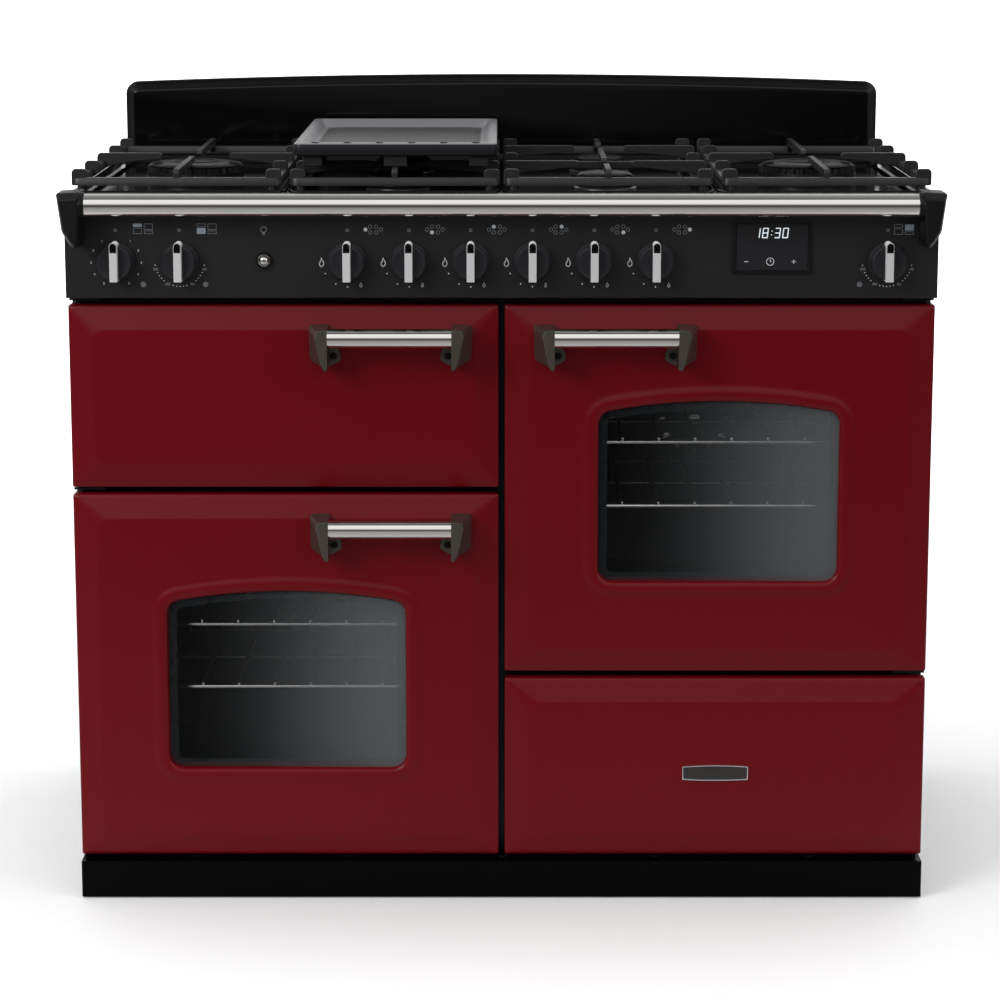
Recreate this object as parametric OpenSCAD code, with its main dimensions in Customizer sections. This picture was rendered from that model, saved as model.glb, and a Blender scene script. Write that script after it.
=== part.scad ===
// Freestanding gas range, 110 cm wide: two ovens, a grill, a storage drawer,
// six hob burners with cast pan supports and a griddle.
// Millimetres. +X right, +Y to the back, +Z up. Origin on the floor, centre of the plan.

/* [Body] */
// overall width of the cabinet
body_w = 1092; // [1088:1:1096]
// depth from the door faces to the rear cover
body_d = 594; // [590:1:600]
// height of the hob's raised rim
hob_z = 919; // [918:1:920]
// height of the plinth
plinth_h = 50; // [46:1:52]
// sheet thickness of the cabinet's panels
sheet = 3; // [2:0.5:3]

/* [Doors] */
// thickness of a door from face to back
door_t = 45; // [44:1:46]
// width of the sloping border of a pressed door skin
bevel_w = 31; // [24:1:34]
// depth of that slope
bevel_d = 9; // [6:1:10]
// gap between the left and right columns of doors
centre_gap = 7.5; // [6:0.5:9]
// bottom of the lowest fronts
front_low = 57; // [56:1:58]
// top of the lower left door
low_door_top = 535.5; // [533:0.5:537]
// bottom of the grill door
grill_low = 544.5; // [543:0.5:547]
// top of the drawer front
drawer_top = 294; // [290:1:295]
// bottom of the right oven door
right_low = 303; // [302:1:306]
// top of the grill door and of the right oven door
front_top = 778.5; // [777:0.5:780]
// radius of the door pins
pin_r = 3; // [2.5:0.25:3.25]
// running clearance round a door pin
pin_clear = 0.05; // [0.02:0.01:0.1]

/* [Ovens] */
// inner width of an oven
oven_w = 450; // [440:5:452]
// depth of an oven behind the face frame
oven_d = 420; // [400:5:430]
// floor of the lower left oven
left_floor = 95; // [90:1:98]
// floor of the right oven
right_floor = 345; // [340:1:350]
// inner height of an oven
oven_h = 405; // [400:1:410]
// floor of the grill compartment
grill_floor = 575; // [570:1:580]
// inner height of the grill compartment
grill_h = 170; // [160:1:175]

/* [Controls] */
// height of the knob centres
knob_z = 835; // [832:1:838]
// radius of a knob's skirt
knob_r = 24.5; // [23:0.5:25]
// spacing of the hob knobs
knob_pitch = 77.1; // [76:0.1:78]
// travel of the light button
button_travel = 4; // [3:0.5:4.5]

/* [Hob] */
// depth of the burner wells below the rim
well_d = 10; // [8:1:11]
// width of one pan support
grate_w = 266; // [262:1:267]
// distance between support stations along a pan support
station = 119; // [117:0.5:120]
// top of the pan supports above the rim
grate_up = 26; // [24:1:28]
// outer radius of the large burner
wok_r = 65; // [60:1:66]
// outer radius of a small burner
small_r = 38; // [34:1:40]

/* [Hidden] */
$fn = 48;
door_y = -274;
frame_y = door_y + door_t + 4;
back_y = door_y + body_d;
hw = body_w / 2;
cg = centre_gap / 2;
skin_d = 24;
mid_y = door_y + skin_d;
door_back = door_y + door_t;
hinge_x = hw - 9;
hinge_y = door_back - 15;
frame_t = 12;
liner_y = frame_y + frame_t;
face_y = door_y - 6;
deck_z = hob_z - well_d;
hob_base = hob_z - 19;
grate_top = hob_z + grate_up;
rail_z = 910;
rail_y = -318;
rail_r = 14;
left_shelves = [260, 345];
right_shelves = [503, 588];
section_x = [-412, -135.5, 135.5, 412];
grate_y = 27;
knob_x = [for (i = [0:5]) (i - 2.5) * knob_pitch];
oven_knob_x = [-482, -402.5, 482];
small_pos = [[-135.5, grate_y - station], [-135.5, grate_y + station],
             [135.5, grate_y - station], [135.5, grate_y + station]];
wok_pos = [[-412, grate_y], [412, grate_y]];

// ---------------------------------------------------------------- helpers

module box(lo, hi) {
  translate(lo) cube(hi - lo);
}

// a flat outline drawn in X and Z, made solid between two depths
module slab(y0, y1) {
  translate([0, y1, 0]) rotate([90, 0, 0]) linear_extrude(y1 - y0) children();
}

// an outline drawn in Y and Z, made solid between two values of X
module beam(x0, x1) {
  translate([x0, 0, 0]) rotate([90, 0, 90]) linear_extrude(x1 - x0) children();
}

module rod_x(x0, x1, y, z, r) {
  translate([x0, y, z]) rotate([0, 90, 0]) cylinder(r = r, h = x1 - x0);
}

module rod_y(x, y0, y1, z, r) {
  translate([x, y1, z]) rotate([90, 0, 0]) cylinder(r = r, h = y1 - y0);
}

module round_rect(lo, hi, r) {
  translate([lo.x + r, lo.y]) square([hi.x - lo.x - 2 * r, hi.y - lo.y]);
  translate([lo.x, lo.y + r]) square([hi.x - lo.x, hi.y - lo.y - 2 * r]);
  for (x = [lo.x + r, hi.x - r])
    for (z = [lo.y + r, hi.y - r])
      translate([x, z]) circle(r);
}

// a rounded window with a shallow arch for its top edge
module arched(lo, hi, r, rise) {
  half = (hi.x - lo.x) / 2;
  big = (half * half + rise * rise) / (2 * rise);
  intersection() {
    round_rect(lo, hi, r);
    translate([lo.x + half, hi.y - big]) circle(big, $fn = 96);
  }
}

// block with its front border sloping back to all four edges
module sloped_block(lo, hi) {
  y1 = door_y + bevel_d;
  intersection() {
    translate([0, 0, lo.y]) linear_extrude(hi.y - lo.y)
      polygon([[lo.x, mid_y], [lo.x, y1], [lo.x + bevel_w, door_y],
               [hi.x - bevel_w, door_y], [hi.x, y1], [hi.x, mid_y]]);
    beam(lo.x, hi.x)
      polygon([[mid_y, lo.y], [y1, lo.y], [door_y, lo.y + bevel_w],
               [door_y, hi.y - bevel_w], [y1, hi.y], [mid_y, hi.y]]);
  }
}

// pressed front: hollow behind, so a pane and its frame fit inside
module front_skin(lo, hi) {
  e = bevel_w + 4;
  difference() {
    sloped_block(lo, hi);
    box([lo.x + 4, door_y + bevel_d + 4, lo.y + 4], [hi.x - 4, mid_y + 1, hi.y - 4]);
    box([lo.x + e, door_y + 4, lo.y + e], [hi.x - e, mid_y, hi.y - e]);
  }
}

left_lo = [-hw, front_low];
left_hi = [-cg, low_door_top];
grill_lo = [-hw, grill_low];
grill_hi = [-cg, front_top];
right_lo = [cg, right_low];
right_hi = [hw, front_top];
drawer_lo = [cg, front_low];
drawer_hi = [hw, drawer_top];

left_win = [[-428, 176], [-123, 410]];
right_win = [[123, 423], [428, 656.5]];

module window_outline(w, grow) {
  arched(w[0] - [grow, grow], w[1] + [grow, grow], 17 + grow / 2, 15);
}

module glazed_skin(lo, hi, w) {
  difference() {
    union() {
      front_skin(lo, hi);
      slab(door_y - 2.5, door_y + 4) window_outline(w, 18);
    }
    slab(door_y - 4, mid_y) window_outline(w, 0);
  }
}

// inner half of a door; s is -1 where it hangs at the left and 1 at the right
module door_back_plate(lo, hi, s) {
  x = s * hinge_x;
  difference() {
    box([lo.x + 1, mid_y, lo.y + 1], [hi.x - 1, door_back, hi.y - 1]);
    for (z = [lo.y, hi.y - 16])
      translate([x, hinge_y, z]) cylinder(r = pin_r + pin_clear, h = 16);
  }
}

module glazed_liner(lo, hi, s, w) {
  difference() {
    union() {
      door_back_plate(lo, hi, s);
      slab(door_y + 8, mid_y) window_outline(w, 14);
    }
    slab(door_y, door_back + 1) window_outline(w, 2);
    slab(door_back - 8, door_back - 3) window_outline(w, 12);
    slab(door_back - 3.5, door_back + 1) window_outline(w, 6);
  }
}

module panes(w) {
  slab(door_y + 4, door_y + 8) window_outline(w, 14);
  slab(door_back - 8, door_back - 3) window_outline(w, 12);
}

// towel-bar handle: x0..x1 outside ends, z the height of its tube
module handle(x0, x1, z) {
  tube_y = door_y - 39;
  tube_z = z;
  difference() {
    union() {
      for (s = [0, 1]) {
        x = s == 0 ? x0 : x1;
        d = s == 0 ? 1 : -1;
        slab(door_y - 52, door_y)
          polygon([[x, z - 26], [x, z + 10], [x + 5 * d, z + 16.5], [x + 25 * d, z + 16.5],
                   [x + 25 * d, z - 40], [x + 20 * d, z - 40]]);
        difference() {
          slab(door_y - 5, door_y)
            polygon([[x + 24 * d, z - 40], [x + 33 * d, z - 40], [x + 38 * d, z - 35],
                     [x + 38 * d, z - 23], [x + 33 * d, z - 18], [x + 24 * d, z - 18]]);
          rod_y(x + 31 * d, door_y - 6, door_y + 1, z - 29, 2.6);
        }
        rod_y(x + 31 * d, door_y - 7.5, door_y, z - 29, 2.6);
        rod_y(x + 31 * d, door_y - 8, door_y - 5, z - 29, 4.5);
      }
    }
    rod_x(x0 + 10, x1 - 10, tube_y, tube_z, 12);
  }
  difference() {
    rod_x(x0 + 10, x1 - 10, tube_y, tube_z, 12);
    rod_x(x0 + 9, x1 - 9, tube_y, tube_z, 10.5);
  }
}

// five-walled box open at the front, with pressed ledges along its sides
module liner(x0, x1, z0, z1, depth, ledges) {
  difference() {
    box([x0 - sheet, liner_y, z0 - sheet], [x1 + sheet, liner_y + depth, z1 + sheet]);
    box([x0, liner_y - 1, z0], [x1, liner_y + depth - sheet, z1]);
  }
  for (z = ledges)
    for (x = [x0 - 1, x1 - 9])
      box([x, liner_y + 8, z - 4], [x + 10, liner_y + 345, z]);
}

// ---------------------------------------------------------------- cabinet

module base_frame() {
  color([0.22, 0.22, 0.23]) difference() {
    box([-hw + sheet, liner_y, plinth_h], [hw - sheet, back_y - sheet, plinth_h + sheet]);
    for (x = [-490, 490])
      for (y = [-190, 280])
        translate([x, y, plinth_h - 1]) cylinder(r = 5, h = sheet + 2);
  }
}

module levelling_feet() {
  color([0.55, 0.55, 0.56])
    for (x = [-490, 490])
      for (y = [-190, 280])
        translate([x, y, 0]) {
          cylinder(r = 22, h = 7);
          cylinder(r = 9, h = 28, $fn = 6);
          cylinder(r = 5, h = plinth_h + 14);
          translate([0, 0, plinth_h - 8]) cylinder(r = 10, h = 8, $fn = 6);
          translate([0, 0, plinth_h + sheet]) cylinder(r = 10, h = 6, $fn = 6);
        }
}

module plinth() {
  color([0.04, 0.04, 0.04]) {
    box([-hw, door_y, 2], [hw, door_y + 2, plinth_h]);
    for (s = [-1, 1])
      box([s < 0 ? -hw : hw - 2, door_y + 2, 2], [s < 0 ? 2 - hw : hw, frame_y, plinth_h]);
    difference() {
      box([2 - hw, door_y + 2, plinth_h - 2], [hw - 2, frame_y + 8, plinth_h]);
      for (x = [-400, -200, 0, 200, 400])
        translate([x, frame_y - 22, plinth_h - 4]) cylinder(r = 9, h = 6);
    }
  }
}

module side_panel(s) {
  x0 = s < 0 ? -hw : hw - sheet;
  color([0.06, 0.06, 0.065]) {
    box([x0, liner_y, plinth_h], [x0 + sheet, back_y, hob_base]);
    // turned-in edge behind the face frame; on the right it stops above the drawer's runner
    box([s < 0 ? -hw + sheet : hw - sheet - 12, liner_y, s < 0 ? plinth_h + sheet : 300],
        [s < 0 ? -hw + sheet + 12 : hw - sheet, liner_y + sheet, 785]);
  }
}

module left_side_panel() side_panel(-1);
module right_side_panel() side_panel(1);

inlet_x = 470;
inlet_z = 860;
gland_x = 380;
gland_z = 150;

module rear_cover() {
  color([0.62, 0.63, 0.64]) difference() {
    box([-hw + sheet, back_y - sheet, plinth_h], [hw - sheet, back_y, hob_base]);
    for (x = [-360, -120, 120])
      for (i = [0:5])
        box([x - 80, back_y - 5, 640 + 18 * i], [x + 80, back_y + 1, 646 + 18 * i]);
    rod_y(inlet_x, back_y - 6, back_y + 1, inlet_z, 13);
    rod_y(gland_x, back_y - 6, back_y + 1, gland_z, 12);
  }
  // cable gland, with a clear way through for the supply lead
  color([0.1, 0.1, 0.1]) difference() {
    union() {
      rod_y(gland_x, back_y - 10, back_y + 14, gland_z, 12);
      rod_y(gland_x, back_y, back_y + 5, gland_z, 16);
    }
    rod_y(gland_x, back_y - 12, back_y + 15, gland_z, 8);
  }
}

module centre_panel() {
  color([0.6, 0.6, 0.61])
    box([-1.5, liner_y, plinth_h + sheet], [1.5, back_y - sheet - 12, 785]);
}

module front_frame() {
  color([0.09, 0.09, 0.095]) difference() {
    box([-hw, frame_y, plinth_h], [hw, liner_y, 788]);
    box([-50 - oven_w, frame_y - 1, left_floor], [-50, liner_y + 1, left_floor + oven_h]);
    box([-50 - oven_w, frame_y - 1, grill_floor], [-50, liner_y + 1, grill_floor + grill_h]);
    box([50, frame_y - 1, right_floor], [50 + oven_w, liner_y + 1, right_floor + oven_h]);
    box([8, frame_y - 1, 66], [538, liner_y + 1, 286]);
  }
}

module left_oven_liner() {
  color([0.1, 0.1, 0.11]) difference() {
    liner(-50 - oven_w, -50, left_floor, left_floor + oven_h, oven_d, left_shelves - [6, 6]);
    rod_y(-50 - oven_w / 2, 0, 400, left_floor + 205, 6);
  }
}

module right_oven_liner() {
  color([0.1, 0.1, 0.11]) difference() {
    liner(50, 50 + oven_w, right_floor, right_floor + oven_h, oven_d, right_shelves - [6, 6]);
    rod_y(50 + oven_w / 2, 0, 400, right_floor + 205, 6);
  }
}

module grill_liner() {
  color([0.1, 0.1, 0.11])
    liner(-50 - oven_w, -50, grill_floor, grill_floor + grill_h, oven_d - 60, [grill_floor + 66]);
}

// wire shelf with its side hangers, front wire turned up
module wire_shelf(x0, z) {
  y0 = liner_y + 30;
  y1 = liner_y + 330;
  w = oven_w;
  for (y = [y0, (y0 + y1) / 2, y1]) rod_x(x0 + 8, x0 + w - 8, y, z, 3);
  for (i = [0:9]) rod_y(x0 + 11.5 + i * 47.5, y0, y1, z + 2.5, 2.5);
  for (s = [0, 1])
    box([x0 + s * (w - 10), y0 - 4, z - 6], [x0 + 10 + s * (w - 10), y1 + 4, z - 2]);
}

module oven_shelves() {
  color([0.75, 0.75, 0.76]) {
    for (z = left_shelves) wire_shelf(-50 - oven_w, z);
    for (z = right_shelves) wire_shelf(50, z);
  }
}

module fan_covers() {
  y = liner_y + oven_d - sheet - 26;
  color([0.12, 0.12, 0.13])
    for (p = [[-50 - oven_w / 2, left_floor + 205], [50 + oven_w / 2, right_floor + 205]])
      translate([p.x, 0, p.y]) difference() {
        box([-120, y, -110], [120, y + 26, 110]);
        box([-118, y + 2, -108], [118, y + 27, 108]);
        for (a = [0:30:330])
          rotate([0, a, 0]) translate([45, y + 5, 0]) rotate([90, 0, 0]) cylinder(r = 6, h = 8);
        rod_y(0, y - 1, y + 5, 0, 10);
      }
}

module grill_element() {
  z = grill_floor + grill_h - 22;
  color([0.35, 0.33, 0.32]) {
    for (i = [0:5]) rod_x(-480, -70, liner_y + 40 + 44 * i, z, 4);
    for (i = [0:4])
      rod_y(i % 2 == 0 ? -70 : -480, liner_y + 40 + 44 * i, liner_y + 84 + 44 * i, z, 4);
    for (x = [-440, -110]) rod_y(x, liner_y + 30, liner_y + 280, z + 7, 4);
    for (x = [-440, -110]) box([x - 2, liner_y + 150, z + 7], [x + 2, liner_y + 156, z + 22]);
  }
}

module grill_pan() {
  z = grill_floor + 40;
  y0 = liner_y + 14;
  y1 = liner_y + 300;
  color([0.14, 0.14, 0.15]) {
    difference() {
      box([-480, y0, z], [-70, y1, z + 32]);
      box([-476, y0 + 4, z + 3], [-74, y1 - 4, z + 40]);
    }
    for (s = [0, 1])
      box([s == 0 ? -500 : -70, y0, z + 26], [s == 0 ? -480 : -50, y1, z + 30]);
    for (i = [0:8]) rod_y(-455 + 45 * i, y0 + 2, y1 - 2, z + 36, 3);
    for (y = [y0 + 3, y1 - 3]) rod_x(-478, -72, y, z + 34, 3);
  }
}

module drawer_runners() {
  color([0.6, 0.6, 0.62]) {
    for (s = [0, 1]) {
      x0 = s == 0 ? 1.5 : 526;
      x1 = s == 0 ? 20 : hw - sheet;
      box([x0, liner_y, 120], [x1, liner_y + 420, 124]);
      box([x0, liner_y, 150], [x1, liner_y + 420, 154]);
      box([s == 0 ? 1.5 : 538, liner_y, 124], [s == 0 ? 7.5 : hw - sheet, liner_y + 420, 150]);
    }
  }
}

module hinge_plate(s, z, up, down) {
  x = s * hinge_x;
  x0 = s < 0 ? -hw : hw - 40;
  box([x0, hinge_y - 8, z], [x0 + 40, frame_y, z + 3]);
  if (up) translate([x, hinge_y, z]) cylinder(r = pin_r, h = 15);
  if (down) translate([x, hinge_y, z - 12]) cylinder(r = pin_r, h = 15);
}

module hinge_brackets() {
  color([0.7, 0.7, 0.71]) {
    hinge_plate(-1, front_top + 4, false, true);
    hinge_plate(-1, (low_door_top + grill_low) / 2 - 1.5, true, true);
    hinge_plate(-1, front_low - 4.5, true, false);
    hinge_plate(1, front_top + 4, false, true);
    hinge_plate(1, (drawer_top + right_low) / 2 - 1.5, true, false);
  }
}

// ---------------------------------------------------------------- controls

module control_panel() {
  color([0.05, 0.05, 0.05]) difference() {
    union() {
      box([-hw, face_y, 788.7], [hw, face_y + sheet, hob_base]);
      box([-hw, face_y, 788.7], [hw, liner_y, 791.7]);
      box([-hw, face_y, hob_base - 3], [hw, liner_y, hob_base]);
      for (s = [-1, 1])
        box([s < 0 ? -hw : hw - sheet, face_y, 789], [s < 0 ? sheet - hw : hw, liner_y, 899]);
    }
    for (x = concat(knob_x, oven_knob_x)) rod_y(x, face_y - 1, face_y + 5, knob_z, 6);
    rod_y(-297, face_y - 1, face_y + 5, 837, 9);
    box([292, face_y - 1, 824], [384, face_y + 5, 883]);
  }
}

module clock_module() {
  color([0.06, 0.06, 0.07]) {
    difference() {
      slab(face_y - 4, face_y) round_rect([288.5, 820], [387, 887], 3);
      slab(face_y - 5, face_y + 1) round_rect([293, 824.5], [382.5, 882.5], 2);
    }
    slab(face_y - 2, face_y) round_rect([293, 824.5], [382.5, 882.5], 2);
    slab(face_y, face_y + 34) round_rect([294, 826], [382, 881], 3);
  }
}

// bezel and switch body of the light button
module light_switch() {
  color([0.8, 0.8, 0.8]) difference() {
    union() {
      rod_y(-297, face_y - 4, face_y, 837, 10.5);
      rod_y(-297, face_y - 1, face_y + 6, 837, 9);
    }
    rod_y(-297, face_y - 5, face_y + 7, 837, 7.3);
  }
  color([0.1, 0.1, 0.1]) difference() {
    box([-308, face_y + 3, 826], [-286, face_y + 32, 848]);
    rod_y(-297, face_y + 2, face_y + 6, 837, 9);
    rod_y(-297, face_y + 2, face_y + 25, 837, 7.5);
  }
}

module light_button() {
  color([0.85, 0.85, 0.86]) {
    rod_y(-297, face_y - 8, face_y + 20, 837, 7);
  }
}

// knob: dished body, shaft and raised pointer bar
module knob(x) {
  y0 = face_y - 1.5;
  color([0.03, 0.03, 0.03]) {
    rod_y(x, y0 - 5, y0, knob_z, knob_r);
    rod_y(x, y0 - 18, y0 - 5, knob_z, knob_r - 3);
    rod_y(x, y0, face_y + 24, knob_z, 4);
    difference() {
      box([x - 5.5, y0 - 32, knob_z - 27], [x + 5.5, y0 - 4, knob_z + 27]);
      rod_y(x, y0 - 18, y0, knob_z, knob_r - 3);
      rod_y(x, y0 - 5, y0, knob_z, knob_r);
    }
  }
}

module grill_knob() knob(oven_knob_x[0]);
module left_oven_knob() knob(oven_knob_x[1]);
module right_oven_knob() knob(oven_knob_x[2]);
module hob_knob_1() knob(knob_x[0]);
module hob_knob_2() knob(knob_x[1]);
module hob_knob_3() knob(knob_x[2]);
module hob_knob_4() knob(knob_x[3]);
module hob_knob_5() knob(knob_x[4]);
module hob_knob_6() knob(knob_x[5]);

module gas_taps() {
  color([0.72, 0.6, 0.3]) {
    for (x = knob_x) difference() {
      box([x - 14, face_y + 8, knob_z - 16], [x + 14, -243, knob_z + 16]);
      rod_y(x, face_y + 2, face_y + 26, knob_z, 4.3);
    }
  }
  // thermostats and the grill's energy regulator
  color([0.5, 0.5, 0.5])
    for (x = oven_knob_x) difference() {
      box([x - 20, face_y + 8, knob_z - 20], [x + 20, -243, knob_z + 20]);
      rod_y(x, face_y + 2, face_y + 26, knob_z, 4.3);
    }
}

module gas_manifold() {
  color([0.6, 0.6, 0.6]) {
    rod_x(-225, inlet_x, -232, knob_z, 9);
    translate([inlet_x, -232, knob_z - 9]) cylinder(r = 9, h = inlet_z - knob_z + 19);
    rod_y(inlet_x, -232, back_y + 1, inlet_z, 9);
    rod_y(inlet_x, back_y, back_y + 14, inlet_z, 10.48);
    for (x = knob_x) rod_y(x, -243, -232, knob_z, 6);
  }
}

module hand_rail() {
  color([0.82, 0.82, 0.83]) difference() {
    rod_x(-524, 524, rail_y, rail_z, rail_r);
    rod_x(-525, 525, rail_y, rail_z, rail_r - 1.5);
  }
}

module hand_rail_brackets() {
  color([0.05, 0.05, 0.05])
    for (s = [-1, 1]) {
      difference() {
        slab(-334, face_y)
          polygon([[s * 514, 927], [s * 549.5, 925], [s * 546, 873], [s * 525, 856],
                   [s * 523, 893], [s * 514, 893]]);
        rod_x(s < 0 ? -524 : 500, s < 0 ? -500 : 524, rail_y, rail_z, rail_r);
      }
    }
}

// ---------------------------------------------------------------- hob

well_x = [[-541, -275], [-269, -2.5], [2.5, 269], [275, 541]];

module hob_top() {
  color([0.05, 0.05, 0.05]) difference() {
    box([-hw, -258, hob_base], [hw, 306, hob_z]);
    for (w = well_x)
      box([w[0], -228, deck_z], [w[1], 290, hob_z + 1]);
    box([-hw + 20, -246, hob_base - 1], [hw - 20, 298, deck_z - 3]);
    for (p = wok_pos) translate([p.x, p.y, deck_z - 5]) cylinder(r = 46, h = 8);
    for (p = small_pos) translate([p.x, p.y, deck_z - 5]) cylinder(r = 24, h = 8);
  }
}

module backguard() {
  rise = 11;
  r = (542 * 542 + rise * rise) / (2 * rise);
  color([0.03, 0.03, 0.03]) {
    slab(320, 334) intersection() {
      round_rect([-542, 880], [542, 1033], 16);
      translate([0, 1033 - r]) circle(r, $fn = 200);
    }
    slab(311, 320) intersection() {
      round_rect([-540, hob_base], [540, 1021], 14);
      translate([0, 1021 - r]) circle(r, $fn = 200);
    }
    box([-540, 306, hob_base], [540, 311, hob_z]);
  }
}

module burner_heads() {
  color([0.72, 0.62, 0.4]) {
    for (p = wok_pos) translate([p.x, p.y, 0]) {
      translate([0, 0, deck_z - 12]) cylinder(r = 45.5, h = 12);
      translate([0, 0, deck_z]) cylinder(r = wok_r - 3, h = 4);
      difference() {
        translate([0, 0, deck_z + 4]) cylinder(r = wok_r, h = 15);
        for (a = [0:15:345])
          rotate([0, 0, a]) box([wok_r - 6, -2, deck_z + 9], [wok_r + 1, 2, deck_z + 20]);
      }
      rotate([0, 0, 60]) translate([wok_r + 8, 0, deck_z]) cylinder(r = 3, h = 18);
      rotate([0, 0, 60]) translate([wok_r - 6, -4, deck_z]) cube([17, 8, 3]);
    }
    for (p = small_pos) translate([p.x, p.y, 0]) {
      translate([0, 0, deck_z - 12]) cylinder(r = 23.5, h = 12);
      translate([0, 0, deck_z]) cylinder(r = small_r - 3, h = 4);
      difference() {
        translate([0, 0, deck_z + 4]) cylinder(r = small_r, h = 13);
        for (a = [0:20:340])
          rotate([0, 0, a]) box([small_r - 5, -1.5, deck_z + 9], [small_r + 1, 1.5, deck_z + 18]);
      }
      rotate([0, 0, 60]) translate([small_r + 8, 0, deck_z]) cylinder(r = 3, h = 16);
      rotate([0, 0, 60]) translate([small_r - 6, -4, deck_z]) cube([17, 8, 3]);
    }
  }
}

module burner_caps() {
  color([0.03, 0.03, 0.03]) {
    for (p = wok_pos) translate([p.x, p.y, deck_z + 19]) {
      cylinder(r = wok_r - 4, h = 4);
      cylinder(r = wok_r - 10, h = 6);
    }
    for (p = small_pos) translate([p.x, p.y, deck_z + 17]) {
      cylinder(r = small_r - 2, h = 4);
      cylinder(r = small_r - 7, h = 6);
    }
  }
}

bar = 12;
low_z = deck_z + 15;
side_z = low_z + 8;

module support_frame(x) {
  w = grate_w / 2;
  l = 2 * station + bar / 2;
  difference() {
    box([x - w, grate_y - l, low_z], [x + w, grate_y + l, side_z]);
    box([x - w + bar, grate_y - l + bar, low_z - 1], [x + w - bar, grate_y + l - bar, side_z + 1]);
  }
  for (sx = [-1, 1])
    for (sy = [-1, 1])
      translate([x + sx * (w - 13), grate_y + sy * (l - 8), deck_z])
        cylinder(r = 6, h = low_z - deck_z + 1);
}

// short upright plates on the side rails
module nubs(x, stations) {
  w = grate_w / 2;
  for (i = stations)
    for (s = [-1, 1]) {
      y = grate_y + (i - 3) * station;
      slab(y - 4, y + 4)
        polygon([[x + s * w, low_z], [x + s * w, grate_top - 4], [x + s * (w - 4), grate_top],
                 [x + s * (w - 17), grate_top], [x + s * (w - 20), grate_top - 4],
                 [x + s * (w - 20), side_z - 2], [x + s * (w - 12), low_z]]);
    }
}

// fingers across, their tips left g from the burner's axis
module cross_fingers(x, y, g) {
  w = grate_w / 2;
  for (s = [-1, 1])
    slab(y - 4, y + 4)
      polygon([[x + s * w, low_z], [x + s * w, grate_top - 3], [x + s * (w - 3), grate_top],
               [x + s * (g + 3), grate_top], [x + s * g, grate_top - 3],
               [x + s * g, grate_top - 9], [x + s * (g + 30), grate_top - 9],
               [x + s * (w - 22), side_z], [x + s * (w - 12), low_z]]);
}

// finger along Y between two distances, standing on the frame where it meets it
module long_finger(x, y0, y1) {
  beam(x - 4, x + 4)
    polygon([[y0 + 2, grate_top - 9], [y0, grate_top - 7], [y0, grate_top - 3], [y0 + 3, grate_top],
             [y1 - 3, grate_top], [y1, grate_top - 3], [y1, grate_top - 7], [y1 - 2, grate_top - 9]]);
}

module post(x, y) {
  box([x - 4, y - 5, low_z], [x + 4, y + 5, grate_top - 4]);
}

module wok_support(x) {
  color([0.04, 0.04, 0.04]) {
    support_frame(x);
    nubs(x, [1, 2, 4, 5]);
    cross_fingers(x, grate_y, 45);
    long_finger(x, grate_y - 2 * station - 5, grate_y - 45);
    long_finger(x, grate_y + 45, grate_y + 2 * station + 5);
    for (s = [-1, 1]) post(x, grate_y + s * 2 * station);
  }
}

module pair_support(x) {
  color([0.04, 0.04, 0.04]) {
    support_frame(x);
    box([x - grate_w / 2, grate_y - 5, low_z], [x + grate_w / 2, grate_y + 5, side_z]);
    nubs(x, [1, 3, 5]);
    cross_fingers(x, grate_y - station, 34);
    cross_fingers(x, grate_y + station, 34);
    long_finger(x, grate_y - 2 * station - 5, grate_y - station - 36);
    long_finger(x, grate_y - station + 36, grate_y + station - 36);
    long_finger(x, grate_y + station + 36, grate_y + 2 * station + 5);
    for (i = [-2, 0, 2]) post(x, grate_y + i * station);
  }
}

module pan_support_1() wok_support(section_x[0]);
module pan_support_2() pair_support(section_x[1]);
module pan_support_3() pair_support(section_x[2]);
module pan_support_4() wok_support(section_x[3]);

module griddle() {
  x = section_x[1];
  z0 = grate_top + 14;
  z1 = z0 + 16;
  color([0.35, 0.35, 0.36]) {
    difference() {
      union() {
        box([x - 130, grate_y - 214, z0], [x + 130, grate_y + 214, z1]);
        box([x - 128, grate_y - 216, z0], [x + 128, grate_y + 216, z1]);
      }
      box([x - 112, grate_y - 188, z0 + 5], [x + 112, grate_y + 200, z1 + 1]);
      for (i = [0:5])
        translate([x - 102.5 + 41 * i, grate_y - 202, z0 - 1]) cylinder(r = 3, h = 20);
    }
    for (s = [-1, 1])
      for (y = [[-206, 5 - station], [station - 5, 206]])
        box([x + s * 106 - 12, grate_y + y[0], grate_top], [x + s * 106 + 12, grate_y + y[1], z0 + 1]);
    for (y = [-204, 204])
      box([x - 15, grate_y + y - 5, grate_top], [x + 15, grate_y + y + 5, z0 + 1]);
  }
}

// ---------------------------------------------------------------- doors and drawer

module grill_door_skin() {
  color([0.35, 0.03, 0.05]) front_skin(grill_lo, grill_hi);
}

module grill_door_liner() {
  color([0.1, 0.1, 0.1]) door_back_plate(grill_lo, grill_hi, -1);
}

module grill_door_handle() {
  color([0.6, 0.6, 0.6]) handle(-242.5, -37, 743);
}

module left_door_skin() {
  color([0.35, 0.03, 0.05]) glazed_skin(left_lo, left_hi, left_win);
}

module left_door_liner() {
  color([0.1, 0.1, 0.1]) glazed_liner(left_lo, left_hi, -1, left_win);
}

module left_door_glass() {
  color([0.1, 0.1, 0.12, 0.6]) panes(left_win);
}

module left_door_handle() {
  color([0.6, 0.6, 0.6]) handle(-243.5, -38, 500);
}

module right_door_skin() {
  color([0.35, 0.03, 0.05]) glazed_skin(right_lo, right_hi, right_win);
}

module right_door_liner() {
  color([0.1, 0.1, 0.1]) glazed_liner(right_lo, right_hi, 1, right_win);
}

module right_door_glass() {
  color([0.1, 0.1, 0.12, 0.6]) panes(right_win);
}

module right_door_handle() {
  color([0.6, 0.6, 0.6]) handle(40.5, 246, 743);
}

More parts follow.
